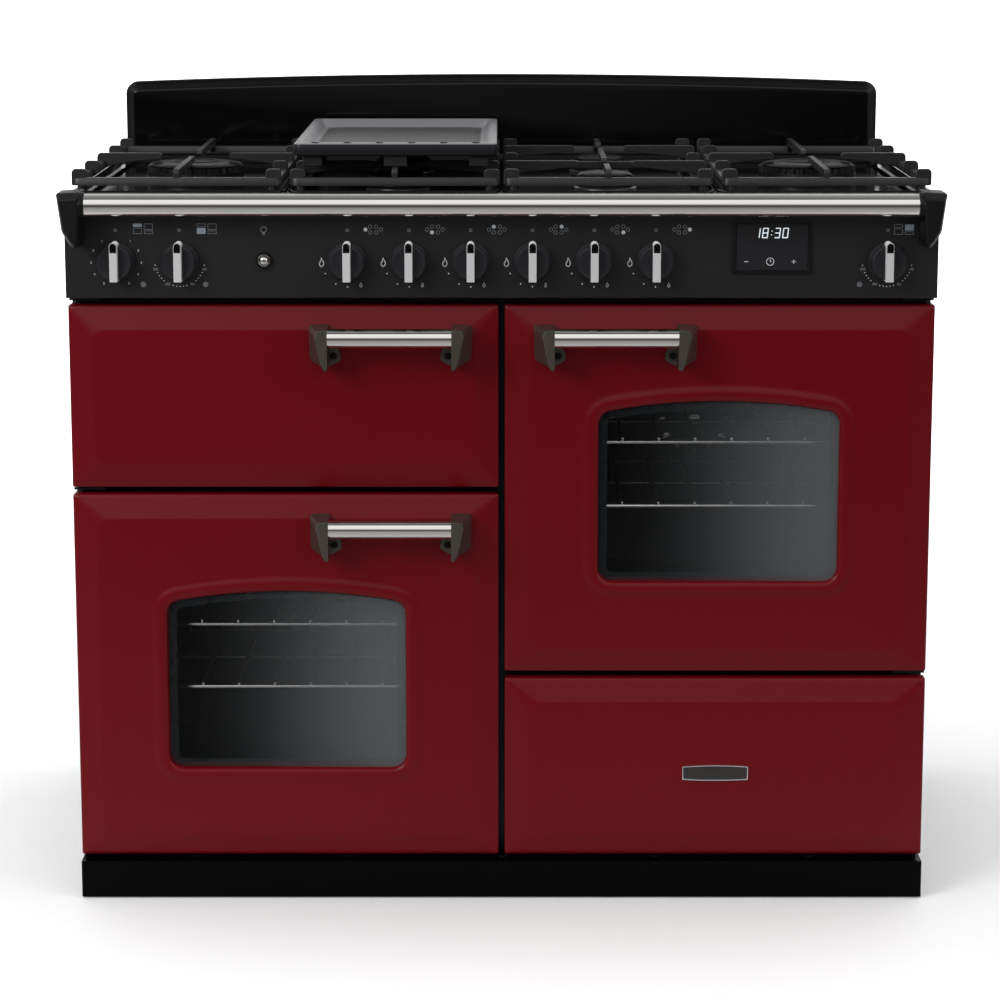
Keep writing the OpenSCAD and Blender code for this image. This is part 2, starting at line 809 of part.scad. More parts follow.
module drawer_front() {
  color([0.35, 0.03, 0.05]) front_skin(drawer_lo, drawer_hi);
}

module drawer_box() {
  color([0.5, 0.5, 0.51]) {
    difference() {
      box([22, mid_y, 72], [524, liner_y + 400, 268]);
      box([24, mid_y + 2, 74], [522, liner_y + 398, 269]);
    }
    box([10, liner_y + 5, 126], [22, liner_y + 395, 148]);
    box([524, liner_y + 5, 126], [536, liner_y + 395, 148]);
    box([drawer_lo.x + 1, mid_y, drawer_lo.y + 1], [drawer_hi.x - 1, mid_y + 3, drawer_hi.y - 1]);
  }
}

module drawer_badge() {
  w = 43;
  x = 276;
  z = 169.5;
  color([0.7, 0.7, 0.7]) {
    slab(door_y - 2, door_y) arched([x - w, z - 12], [x + w, z + 12], 2, 4);
    slab(door_y - 3, door_y - 2) difference() {
      arched([x - w, z - 12], [x + w, z + 12], 2, 4);
      arched([x - w + 3, z - 9], [x + w - 3, z + 9], 1, 3.5);
    }
  }
}

// ---------------------------------------------------------------- oven fans

module fan_motors() {
  y = liner_y + oven_d;
  color([0.5, 0.5, 0.5])
    for (p = [[-50 - oven_w / 2, left_floor + 205], [50 + oven_w / 2, right_floor + 205]])
      difference() {
        union() {
          rod_y(p.x, y, y + 55, p.y, 36);
          box([p.x - 60, y, p.y - 12], [p.x + 60, y + 3, p.y + 12]);
        }
        rod_y(p.x, y - 1, y + 50, p.y, 6);
      }
}

module fan(x, z) {
  y1 = liner_y + oven_d - sheet - 4;
  color([0.6, 0.6, 0.6]) {
    rod_y(x, y1 - 3, y1, z, 60);
    rod_y(x, y1 - 16, y1 + 48, z, 5.5);
    for (a = [0:30:330])
      translate([x, 0, z]) rotate([0, a, 0]) box([30, y1 - 15, -1], [60, y1 - 2, 1]);
  }
}

module left_oven_fan() fan(-50 - oven_w / 2, left_floor + 205);
module right_oven_fan() fan(50 + oven_w / 2, right_floor + 205);

// ---------------------------------------------------------------- assembly

base_frame();
levelling_feet();
plinth();
left_side_panel();
right_side_panel();
rear_cover();
centre_panel();
front_frame();
left_oven_liner();
right_oven_liner();
grill_liner();
oven_shelves();
fan_covers();
fan_motors();
grill_element();
grill_pan();
drawer_runners();
hinge_brackets();
control_panel();
clock_module();
light_switch();
hob_top();
backguard();
hand_rail();
hand_rail_brackets();
burner_heads();
burner_caps();
gas_manifold();
gas_taps();
grill_door_skin();
grill_door_liner();
grill_door_handle();
left_door_skin();
left_door_liner();
left_door_glass();
left_door_handle();
right_door_skin();
right_door_liner();
right_door_glass();
right_door_handle();
drawer_front();
drawer_box();
drawer_badge();
grill_knob();
left_oven_knob();
hob_knob_1();
hob_knob_2();
hob_knob_3();
hob_knob_4();
hob_knob_5();
hob_knob_6();
right_oven_knob();
light_button();
left_oven_fan();
right_oven_fan();
pan_support_1();
pan_support_2();
pan_support_3();
pan_support_4();
griddle();
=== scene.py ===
"""Freestanding gas range: the looks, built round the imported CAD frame."""
from math import atan2, cos, hypot, pi, radians, sin, sqrt

import bmesh
import bpy
from mathutils import Matrix, Vector


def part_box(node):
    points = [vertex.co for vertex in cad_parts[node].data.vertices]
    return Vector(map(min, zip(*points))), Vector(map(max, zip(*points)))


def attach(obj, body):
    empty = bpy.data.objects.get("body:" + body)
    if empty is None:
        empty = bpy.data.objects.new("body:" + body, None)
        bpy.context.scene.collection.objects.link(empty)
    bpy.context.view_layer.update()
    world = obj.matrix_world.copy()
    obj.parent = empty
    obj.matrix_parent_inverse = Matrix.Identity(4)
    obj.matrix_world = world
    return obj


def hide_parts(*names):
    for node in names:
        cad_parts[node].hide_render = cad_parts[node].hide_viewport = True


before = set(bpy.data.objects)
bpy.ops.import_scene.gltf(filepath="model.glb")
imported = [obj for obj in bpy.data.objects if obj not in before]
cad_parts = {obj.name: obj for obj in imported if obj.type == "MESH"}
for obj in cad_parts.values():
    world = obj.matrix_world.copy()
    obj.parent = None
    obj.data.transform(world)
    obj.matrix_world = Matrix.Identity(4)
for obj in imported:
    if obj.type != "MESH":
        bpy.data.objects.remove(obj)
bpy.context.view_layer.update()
ROOT = "cabinet"

# ------------------------------------------------------------------ colours and materials


def srgb(*c):
    """Display colour, 0 to 255, as linear."""
    return tuple((v / 255 / 12.92) if v / 255 <= 0.04045 else ((v / 255 + 0.055) / 1.055) ** 2.4
        for v in c)


class Nodes:
    """Shorthand for adding and joining shader nodes."""

    def __init__(self, tree):
        self.tree = tree

    def new(self, kind, inputs=(), **settings):
        """inputs gives pairs of a socket and either a number or the output that feeds it."""
        n = self.tree.nodes.new("ShaderNode" + kind)
        for key, value in settings.items():
            setattr(n, key, value)
        self.set(n, inputs)
        return n

    def set(self, n, inputs):
        for key, value in inputs:
            if isinstance(value, bpy.types.NodeSocket):
                self.tree.links.new(value, n.inputs[key])
            else:
                n.inputs[key].default_value = value

    def ramp(self, stops, fac=None):
        """Colour ramp through grey stops, given as position and value."""
        r = self.new("ValToRGB", [(0, fac)])
        while len(r.color_ramp.elements) < len(stops):
            r.color_ramp.elements.new(0.5)
        for e, (at, v) in zip(r.color_ramp.elements, stops):
            e.position = at
            e.color = (v, v, v, 1)
        return r.outputs[0]

    def mix(self, fac, a, b):
        return self.new("Mix", data_type="RGBA", inputs=[(0, fac), (6, a), (7, b)]).outputs[2]

    def smooth(self, value, span, out=(0.0, 1.0)):
        return self.new("MapRange", [("Value", value), ("From Min", span[0]),
            ("From Max", span[1]), ("To Min", out[0]), ("To Max", out[1])],
            interpolation_type="SMOOTHSTEP").outputs[0]


def material(name, color, rough=0.4, metal=0.0, vary=0.06, rough_vary=0.08, grain=0.0,
             grain_scale=900.0, wave=0.0, wave_scale=12.0, patch=6.0, ior=1.5, alpha=1.0,
             stretch=(1, 1, 1), spec=0.5):
    """Painted, cast or metal surface: uneven colour and gloss, fine grain, and a slow wave."""
    m = bpy.data.materials.new(name)
    m.use_nodes = True
    nt = Nodes(m.node_tree)
    b = m.node_tree.nodes["Principled BSDF"]
    coord = nt.new("TexCoord")
    mapping = nt.new("Mapping", [("Vector", coord.outputs["Object"]), ("Scale", stretch)])

    def noise(scale, detail):
        return nt.new("TexNoise", [("Vector", mapping.outputs["Vector"]), ("Scale", scale),
            ("Detail", detail)]).outputs["Fac"]

    lo = tuple(max(0.0, c * (1 - vary)) for c in color)
    hi = tuple(min(1.0, c * (1 + vary)) for c in color)
    gloss = nt.new("MapRange", [("Value", noise(patch * 5, 5.0)),
        ("To Min", max(0.02, rough - rough_vary)), ("To Max", min(1.0, rough + rough_vary))])
    nt.set(b, [("Base Color", nt.mix(noise(patch, 4.0), (*lo, 1), (*hi, 1))),
        ("Roughness", gloss.outputs["Result"]), ("Metallic", metal), ("IOR", ior),
        ("Specular IOR Level", spec), ("Coat Weight", 0.0), ("Coat Roughness", 0.05)])
    normal = None
    for strength, scale, dist in ((wave, wave_scale, 0.002), (grain, grain_scale, 0.0004)):
        if strength > 0:
            bump = nt.new("Bump", [("Strength", strength), ("Distance", dist),
                ("Height", noise(scale, 2.0))])
            if normal:
                nt.set(bump, [("Normal", normal)])
            normal = bump.outputs["Normal"]
    if normal:
        nt.set(b, [("Normal", normal)])
    if alpha < 1:
        nt.set(b, [("Alpha", alpha)])
    return m


RED = material("red_enamel", srgb(102, 4, 14), rough=0.28, vary=0.02, rough_vary=0.008, grain=0.02,
    grain_scale=1400, patch=3, spec=0.19)
FASCIA = material("fascia_black", srgb(26, 26, 28), rough=0.46, vary=0.05, rough_vary=0.03,
    grain=0.04, grain_scale=1600, patch=4, spec=0.28)
PANEL = material("panel_black", srgb(26, 26, 27), rough=0.42, grain=0.25, grain_scale=1100,
    spec=0.3)
PLINTH = material("plinth_black", srgb(4, 4, 5), rough=0.24, grain=0.10, grain_scale=1200,
    spec=0.05)
ENAMEL = material("black_enamel", srgb(7, 7, 8), rough=0.09, vary=0.1, rough_vary=0.03, wave=0.02,
    wave_scale=40, patch=5, spec=0.28)
INNER = material("inner_enamel", srgb(68, 71, 76), rough=0.34, vary=0.12, rough_vary=0.08,
    grain=0.2, grain_scale=500, patch=10)
# Dark frame enamel; on the base frame it is painted shade, keeping the gap between the doors and
# the plinth dark.
SHADE = material("frame_enamel_gap_shade", srgb(20, 20, 21), rough=0.35, vary=0.12, rough_vary=0.08,
    grain=0.2, grain_scale=600, spec=0.3)
LINER = material("door_inner", srgb(36, 37, 39), rough=0.36, vary=0.1, rough_vary=0.06, grain=0.12,
    spec=0.25)
CHROME = material("chrome", srgb(224, 222, 219), rough=0.05, metal=1.0, vary=0.02, rough_vary=0.02,
    patch=20)
WIRE = material("bright_wire", srgb(238, 238, 240), rough=0.12, metal=1.0, vary=0.05, patch=30)
RACK = material("rack_wire", srgb(105, 106, 108), rough=0.3, metal=0.9, vary=0.08, patch=30)
MATTE = material("matte_black", srgb(9, 9, 9), rough=0.9, vary=0.1, spec=0.03)
SATIN_STEEL = material("satin_pointer", srgb(204, 203, 205), rough=0.40, metal=0.12, vary=0.04,
    rough_vary=0.06, grain=0.12, stretch=(6, 1, 0.4), grain_scale=500)
GALV = material("galvanised", srgb(150, 153, 157), rough=0.42, metal=0.85, vary=0.16,
    rough_vary=0.12, grain=0.2, grain_scale=160, patch=60)
BRACKET = material("bracket_metal", srgb(84, 77, 70), rough=0.36, metal=0.6, vary=0.06,
    rough_vary=0.05, grain=0.12, grain_scale=1300)
BLACK = material("black_plastic", srgb(12, 12, 13), rough=0.42, vary=0.08, grain=0.15,
    grain_scale=1500, spec=0.2)
KNOB = material("knob_black", srgb(34, 34, 37), rough=0.34, vary=0.05, rough_vary=0.04, grain=0.05,
    grain_scale=1500, spec=0.25)
GLOSS = material("gloss_black", srgb(6, 6, 8), rough=0.08, vary=0.05, rough_vary=0.02, spec=0.35)
IRON = material("cast_iron", srgb(28, 28, 29), rough=0.40, vary=0.15, rough_vary=0.12, grain=0.5,
    grain_scale=420, patch=30, spec=0.4)
GRIDDLE = material("griddle_side", srgb(26, 27, 30), rough=0.38, vary=0.10, rough_vary=0.07,
    grain=0.3, grain_scale=700, spec=0.22)
GRIDDLE_RIM = material("griddle_rim", srgb(128, 128, 131), rough=0.36, metal=0.75, vary=0.06,
    rough_vary=0.03)
GRIDDLE_DARK = material("griddle_floor", srgb(40, 38, 38), rough=0.38, metal=0.3, vary=0.12,
    rough_vary=0.04, spec=0.3)
BRASS = material("burner_head", srgb(46, 46, 47), rough=0.30, metal=0.75, vary=0.16,
    rough_vary=0.10, grain=0.3, grain_scale=500, patch=50)
CUP = material("burner_cup", srgb(66, 67, 70), rough=0.32, metal=0.8, vary=0.10, rough_vary=0.08,
    patch=40)
CAP = material("burner_cap", srgb(11, 11, 12), rough=0.36, vary=0.15, rough_vary=0.08, grain=0.3,
    grain_scale=350, patch=40, spec=0.12)
TAP = material("tap_brass", srgb(190, 160, 95), rough=0.3, metal=1.0, vary=0.08)
PIPE = material("pipe_steel", srgb(150, 152, 155), rough=0.3, metal=1.0, vary=0.08)
ELEMENT = material("element", srgb(78, 72, 70), rough=0.5, metal=0.6, vary=0.2, patch=40,
    grain=0.3)
CERAMIC = material("ceramic", srgb(190, 185, 175), rough=0.35, vary=0.05)
RUBBER = material("rubber", srgb(16, 16, 17), rough=0.6, vary=0.1, grain=0.4, spec=0.2)
INK = material("panel_print", srgb(205, 209, 213), rough=0.5, vary=0.04)
INK_DIM = material("panel_print_dim", srgb(128, 132, 137), rough=0.5, vary=0.04)
INK_FAINT = material("panel_print_faint", srgb(92, 95, 98), rough=0.5, vary=0.25, patch=400)
INK_FILL = material("panel_print_fill", srgb(150, 163, 174), rough=0.45, vary=0.04)
GLASS = material("oven_glass", srgb(14, 16, 18), rough=0.04, vary=0.1, rough_vary=0.01, patch=8,
    alpha=0.24, ior=1.52, spec=0.35)
GLASS_EDGE = material("glass_print", srgb(56, 61, 65), rough=0.12, vary=0.1, alpha=0.20, spec=0.2)
BADGE = material("badge_plate", srgb(40, 38, 34), rough=0.35, vary=0.2, patch=300, grain=0.4,
    grain_scale=900)
LIT = material("clock_digits", srgb(225, 232, 236), rough=0.4, vary=0.02)
Nodes(LIT.node_tree).set(LIT.node_tree.nodes["Principled BSDF"],
    [("Emission Color", (*srgb(205, 215, 222), 1)), ("Emission Strength", 0.6)])


def glass_with_painted_reflection(name, mesh, alpha=(0.08, 0.23), grey=(0.004, 0.22), tint=(0.92, 0.99, 1.03)):
    """Oven glass with a painted reflection: greyer and more opaque towards its right-hand side."""
    m = GLASS.copy()
    m.name = name
    nt = Nodes(m.node_tree)
    coord = nt.new("TexCoord")
    xyz = nt.new("SeparateXYZ", [(0, coord.outputs["Object"])])
    x0, x1 = (f(v.co.x for v in mesh.vertices) for f in (min, max))
    span = (x0 + (x1 - x0) * 0.10, x1 + (x1 - x0) * 0.05)
    # painted reflection: opacity and grey both rise across the pane from left to right
    thick, painted_reflection_grey = (nt.smooth(xyz.outputs["X"], span, out) for out in (alpha, grey))
    tinted = nt.new("CombineColor", [(i, nt.new("Math", [(0, painted_reflection_grey), (1, k)],
        operation="MULTIPLY").outputs[0]) for i, k in enumerate(tint)])
    nt.set(m.node_tree.nodes["Principled BSDF"], [("Alpha", thick),
        ("Base Color", tinted.outputs[0])])
    return m


# ------------------------------------------------------------------ mesh building


class Shape:
    """Collects closed solids, then becomes one mesh."""

    def __init__(self):
        self.verts = []
        self.faces = []

    def add(self, verts, faces):
        n = len(self.verts)
        self.verts += [tuple(v) for v in verts]
        self.faces += [tuple(i + n for i in f) for f in faces]
        return self

    def box(self, lo, hi):
        v = [(x, y, z) for x in (lo[0], hi[0]) for y in (lo[1], hi[1]) for z in (lo[2], hi[2])]
        f = [(0, 1, 3, 2), (4, 6, 7, 5), (0, 4, 5, 1), (2, 3, 7, 6), (0, 2, 6, 4), (1, 5, 7, 3)]
        return self.add(v, f)

    def rings(self, rings, cap_start=True, cap_end=True, loop=False):
        n = len(rings[0])
        v = [p for r in rings for p in r]
        f = []
        steps = len(rings) if loop else len(rings) - 1
        for k in range(steps):
            a, b = k * n, ((k + 1) % len(rings)) * n
            f += [(a + i, a + (i + 1) % n, b + (i + 1) % n, b + i) for i in range(n)]
        if not loop:
            if cap_start:
                f.append(tuple(range(n)))
            if cap_end:
                f.append(tuple((len(rings) - 1) * n + i for i in range(n)))
        return self.add(v, f)

    def prism(self, pts, a, b, axis="y"):
        put = {"x": lambda p, d: (d, p[0], p[1]), "y": lambda p, d: (p[0], d, p[1]), "z": lambda p,
            d: (p[0], p[1], d)}[axis]
        return self.rings([[put(p, a) for p in pts], [put(p, b) for p in pts]])

    def lathe(self, centre, axis, profile, segs=48, loop=False):
        """profile is (radius, distance along axis); a radius of 0 closes to a point."""
        c = Vector(centre)
        d = Vector(axis).normalized()
        u = d.orthogonal().normalized()
        w = d.cross(u)
        rows = []
        for r, h in profile:
            if r <= 1e-7:
                rows.append([c + d * h])
            else:
                rows.append([c + d * h + (u * cos(t) + w * sin(t)) * r
                    for t in (2 * pi * i / segs for i in range(segs))])
        v, f, start = [], [], []
        for r in rows:
            start.append(len(v))
            v += r
        pairs = list(zip(range(len(rows) - 1), range(1, len(rows))))
        if loop:
            pairs.append((len(rows) - 1, 0))
        for i, j in pairs:
            a, b, na, nb = start[i], start[j], len(rows[i]), len(rows[j])
            for k in range(segs):
                k2 = (k + 1) % segs
                if na == 1 and nb > 1:
                    f.append((a, b + k2, b + k))
                elif nb == 1 and na > 1:
                    f.append((a + k, a + k2, b))
                elif na > 1:
                    f.append((a + k, a + k2, b + k2, b + k))
        if not loop:
            if len(rows[0]) > 1:
                f.append(tuple(start[0] + k for k in range(segs)))
            if len(rows[-1]) > 1:
                f.append(tuple(start[-1] + k for k in range(segs)))
        return self.add(v, f)

    def tube(self, path, r, segs=12, closed=False):
        pts = [Vector(p) for p in path]
        n = len(pts)
        rings = []
        side = None
        for i, p in enumerate(pts):
            if closed:
                t = (pts[(i + 1) % n] - pts[i - 1]).normalized()
            else:
                t = (pts[min(i + 1, n - 1)] - pts[max(i - 1, 0)]).normalized()
            side = t.orthogonal() if side is None else side - t * side.dot(t)
            side.normalize()
            up = t.cross(side)
            rings.append([p + (side * cos(a) + up * sin(a)) * r
                for a in (2 * pi * k / segs for k in range(segs))])
        return self.rings(rings, loop=closed)

    def moved(self, matrix):
        self.verts = [tuple(matrix @ Vector(v)) for v in self.verts]
        return self

    def make(self, name, mat, body, replaces=(), slot=None, angle=35, bevel=0.0, segs=2,
             limit=30):
        me = bpy.data.meshes.new(name)
        me.from_pydata(self.verts, [], self.faces)
        bm = bmesh.new()
        bm.from_mesh(me)
        bmesh.ops.recalc_face_normals(bm, faces=bm.faces)
        bm.to_mesh(me)
        bm.free()
        me.materials.append(mat)
        for p in me.polygons:
            p.use_smooth = True
        if bevel <= 0:
            me.set_sharp_from_angle(angle=radians(angle))
        ob = bpy.data.objects.new(name, me)
        bpy.context.collection.objects.link(ob)
        if bevel > 0:
            mod = ob.modifiers.new("edges", "BEVEL")
            mod.width = bevel
            mod.segments = segs
            mod.limit_method = "ANGLE"
            mod.angle_limit = radians(limit)
            mod.harden_normals = True
        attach(ob, body)
        for node in ([replaces] if isinstance(replaces, str) else replaces):
            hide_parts(node)
        return ob


def outline(x0, z0, x1, z1, r, big=None, side=10, corner=6):
    """Points round a rounded rectangle. big is the radius of an arched top edge."""
    xc = (x0 + x1) / 2
    if big:
        cz = z1 - big
        ccz = cz + sqrt((big - r) ** 2 - (x1 - r - xc) ** 2)
        phi = atan2(ccz - cz, x1 - r - xc)
    else:
        ccz, phi = z1 - r, pi / 2

    def arc(cx, cy, a, b, n, rad):
        return [(cx + rad * cos(a + (b - a) * i / n), cy + rad * sin(a + (b - a) * i / n))
            for i in range(n)]

    def line(p, q, n):
        return [(p[0] + (q[0] - p[0]) * i / n, p[1] + (q[1] - p[1]) * i / n) for i in range(n)]

    pts = line((x0 + r, z0), (x1 - r, z0), side)
    pts += arc(x1 - r, z0 + r, -pi / 2, 0, corner, r)
    pts += line((x1, z0 + r), (x1, ccz), side)
    pts += arc(x1 - r, ccz, 0, phi, corner, r)
    if big:
        pts += arc(xc, cz, phi, pi - phi, side * 2, big)
    else:
        pts += line((x1 - r, z1), (x0 + r, z1), side * 2)
    pts += arc(x0 + r, ccz, pi - phi, pi, corner, r)
    pts += line((x0, ccz), (x0, z0 + r), side)
    pts += arc(x0 + r, z0 + r, pi, 1.5 * pi, corner, r)
    return pts


def at_y(pts, y):
    return [(p[0], y, p[1]) for p in pts]


def band(outer, inner, y, thick):
    """Rings of a flat band between two outlines, standing thick forward of y."""
    return [at_y(outer, y), at_y(outer, y - thick), at_y(inner, y - thick), at_y(inner, y)]


def circle(x, z, r, n):
    return [(x + r * cos(2 * pi * i / n), z + r * sin(2 * pi * i / n)) for i in range(n)]


def at_z(pts, z):
    return [(p[0], p[1], z) for p in pts]


# ------------------------------------------------------------------ door skins

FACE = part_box("grill_door_skin")[0][1]
SLOPE_W, SLOPE_D = 0.031, 0.009
WINDOWS = {"left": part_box("left_door_glass"), "right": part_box("right_door_glass")}


def window_rect(side):
    """The clear opening: the outer pane is 14 mm larger all round."""
    lo, hi = WINDOWS[side]
    return lo[0] + 0.014, lo[2] + 0.014, hi[0] - 0.014, hi[2] - 0.014


def window_outline(side, g):
    x0, z0, x1, z1 = window_rect(side)
    half = (x1 - x0) / 2
    big = (half * half + 0.015 ** 2) / 0.030
    r = max(0.004, 0.018 + g)
    return outline(x0 - g, z0 - g, x1 + g, z1 + g, r, big + g, side=12, corner=8)


def skin(node, body, side=None):
    lo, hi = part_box(node)
    x0, z0, x1, z1 = lo[0], lo[2], hi[0], hi[2]
    back = hi[1]

    def edge(d, y, r):
        return at_y(outline(x0 + d, z0 + d, x1 - d, z1 - d, r, side=12, corner=8), FACE + y)

    top = SLOPE_D
    rings = [edge(0, back - FACE, 0.0025), edge(0, top + 0.0025, 0.0025),
        edge(0.0001, top + 0.0012, 0.0025), edge(0.0005, top + 0.0003, 0.0027),
        edge(0.0012, top - 0.0004, 0.003)]
    for i in range(1, 9):
        t = i / 8
        d = 0.0012 + (0.0285 - 0.0012) * t
        rings.append(edge(d, (top - 0.0004) * (1 - t) + 0.0008 * t, 0.003 + 0.013 * t))
    for d, y in ((0.030, 0.00035), (0.0315, 0.0001), (0.0335, 0.0)):
        rings.append(edge(d, y, 0.0165))
    if side:
        rows = [(0.024, 0), (0.021, -0.0001), (0.0185, -0.0006), (0.016, -0.0014),
            (0.0135, -0.0021), (0.011, -0.0024), (0.008, -0.00235), (0.005, -0.0019),
            (0.003, -0.0012), (0.0015, -0.0002), (0.0006, 0.001), (0.0001, 0.0024), (0.0, 0.0038),
            (0.0, back - FACE)]
        for g, y in rows:
            rings.append(at_y(window_outline(side, g), FACE + y))
        s = Shape().rings(rings, loop=True)
    else:
        s = Shape().rings(rings)
    return s.make(node + "_pressed", RED, body, replaces=node, angle=50)


skin("grill_door_skin", "grill_door")
skin("left_door_skin", "left_door", "left")
skin("right_door_skin", "right_door", "right")
skin("drawer_front", "drawer")


def glazing(side):
    """Printed border behind the outer pane, and the seal round the door's inner pane."""
    lo, hi = WINDOWS[side]
    y = lo[1] + 0.0043
    n = 0.0004
    rings = [at_y(window_outline(side, 0.012), y), at_y(window_outline(side, -0.011), y),
        at_y(window_outline(side, -0.011), y + n), at_y(window_outline(side, 0.012), y + n)]
    Shape().rings(rings, loop=True).make(side + "_glass_border", GLASS_EDGE, side + "_door")
    rings = [at_y(window_outline(side, g), hi[1] + d) for g, d in ((0.0115, -0.0002),
        (0.0115, 0.0006), (0.009, 0.0018), (0.006, 0.0026), (0.0035, 0.0018), (0.002, 0.0002),
        (0.002, -0.0002))]
    Shape().rings(rings, loop=True).make(side + "_inner_gasket", RUBBER, side + "_door")


glazing("left")
glazing("right")

# ------------------------------------------------------------------ handles


def handle(node, body):
    lo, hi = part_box(node)
    z = hi[2] - 0.0165
    tube_y = FACE - 0.039
    long = hi[0] - lo[0] - 0.040
    Shape().lathe((lo[0] + 0.020, tube_y, z), (1, 0, 0),
        [(0, 0), (0.012, 0), (0.012, long), (0, long)],
        64).make(node + "_tube", CHROME, body, replaces=node)
    for tag, x, d in (("left", lo[0], 1), ("right", hi[0], -1)):
        def p(u, v):
            return (x + u * d, z + v)
        # wide at the door; slants in to a cap over the tube's end and a narrow front band
        base = [(0.8, -28), (0, 8), (2, 12), (25.5, 12.5), (25.5, -39), (24, -40), (20.5, -39.4),
            (14, -37.4), (4.5, -34.5), (1.6, -31)]
        nose = [(12.6, -12), (9.2, 3.5), (11.5, 10.8), (25.5, 12.4), (25.5, -38.6), (24.6, -40),
            (22.6, -39.9), (20.2, -38.4), (16.4, -30), (14, -20)]
        rings = []
        for y, t in ((0.0, 0.0), (-0.008, 0.02), (-0.022, 0.30), (-0.040, 0.80), (-0.0495, 1.0),
                     (-0.0518, 1.0)):
            shrink = 0.86 if y < -0.051 else 1.0
            row = []
            for (a, b), (c, d2) in zip(base, nose):
                u, v = a + (c - a) * t, b + (d2 - b) * t
                if shrink < 1:
                    u, v = 25.5 - (25.5 - u) * shrink, -1 + (v + 1) * 0.93
                row.append(p(u / 1000, v / 1000))
            rings.append(at_y(row, FACE + y))
        Shape().rings(rings).make(f"{node}_bracket_{tag}", BRACKET, body, replaces=node,
            bevel=0.0008, segs=3, limit=14)
        foot = [p(0.0250, -0.0405), p(0.032, -0.0375), p(0.0380, -0.0345), p(0.0402, -0.0315),
            p(0.0405, -0.027), p(0.0385, -0.021), p(0.034, -0.0165), p(0.0250, -0.0155)]
        Shape().rings([at_y(foot, FACE), at_y(foot, FACE - 0.0042),
            at_y([(q[0] + (0.0305 * d + x - q[0]) * 0.08, q[1]) for q in foot], FACE
            - 0.0052)]).make(f"{node}_foot_{tag}", BRACKET, body, replaces=node, bevel=0.0006)
        sx, sz = p(0.031, -0.0275)
        head = Shape().lathe((sx, FACE - 0.005, sz), (0, -1, 0), [(0.0044, 0), (0.0045, 0.001),
            (0.0038, 0.0024), (0.0022, 0.0029), (0.0020, 0.0012), (0, 0.0012)], 28)
        head.make(f"{node}_screw_{tag}", BLACK, body, replaces=node)


for door in ("grill_door", "left_door", "right_door"):
    handle(door + "_handle", door)

# ------------------------------------------------------------------ drawer badge


def badge():
    lo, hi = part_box("drawer_badge")
    cx, cz = (lo[0] + hi[0]) / 2, (lo[2] + hi[2]) / 2
    half, tall, up, down = (hi[0] - lo[0]) / 2, 0.0094, 0.0018, 0.0012

    def ring(g, y):
        n, pts = 14, []
        a, b = half - g, tall - g
        for i in range(n + 1):
            t = -1 + 2 * i / n
            pts.append((cx + a * t, cz - b - down * (1 - t * t)))
        for i in range(n + 1):
            t = 1 - 2 * i / n
            pts.append((cx + a * t, cz + b + up * (1 - t * t)))
        return at_y(pts, FACE + y)

    Shape().rings([ring(0, 0), ring(0, -0.0014), ring(0.0003, -0.0022), ring(0.0009, -0.0028),
        ring(0.0015, -0.0028), ring(0.0021, -0.0022), ring(0.0024, -0.0012), ring(0.0024, 0)],
        loop=True).make("badge_rim", WIRE, "drawer", replaces="drawer_badge")
    Shape().rings([ring(0.0022, -0.0001), ring(0.0022, -0.0012),
        ring(0.004, -0.0014)]).make("badge_plate", BADGE, "drawer", replaces="drawer_badge")


badge()

# ------------------------------------------------------------------ control panel and knobs

PANEL_LO, PANEL_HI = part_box("control_panel")
PF = PANEL_LO[1]


def control_panel():
    x0, x1, z0, z1 = PANEL_LO[0], PANEL_HI[0], PANEL_LO[2], PANEL_HI[2]
    back = PANEL_HI[1]
    r, t = 0.003, 0.0015
    prof = [(back, z0), (PF + r, z0)]
    prof += [(PF + r - r * sin(a), z0 + r - r * cos(a))
        for a in (radians(k * 15) for k in range(1, 7))]
    prof += [(PF + r - r * cos(a), z1 - r + r * sin(a))
        for a in (radians(k * 15) for k in range(0, 6))]
    prof += [(PF + r, z1), (back, z1), (back, z1 - t), (PF + 0.0028, z1 - t),
        (PF + 0.0028, z0 + t), (back, z0 + t)]
    s = Shape().prism(prof, x0 + 0.0008, x1 - 0.0008, "x")
    for a, b in ((x0, x0 + 0.0022), (x1 - 0.0022, x1)):
        s.box((a, PF + 0.0005, z0 + 0.0005), (b, back, z1 - 0.0005))
    s.make("control_panel_fascia", FASCIA, ROOT, replaces="control_panel", angle=40)


control_panel()


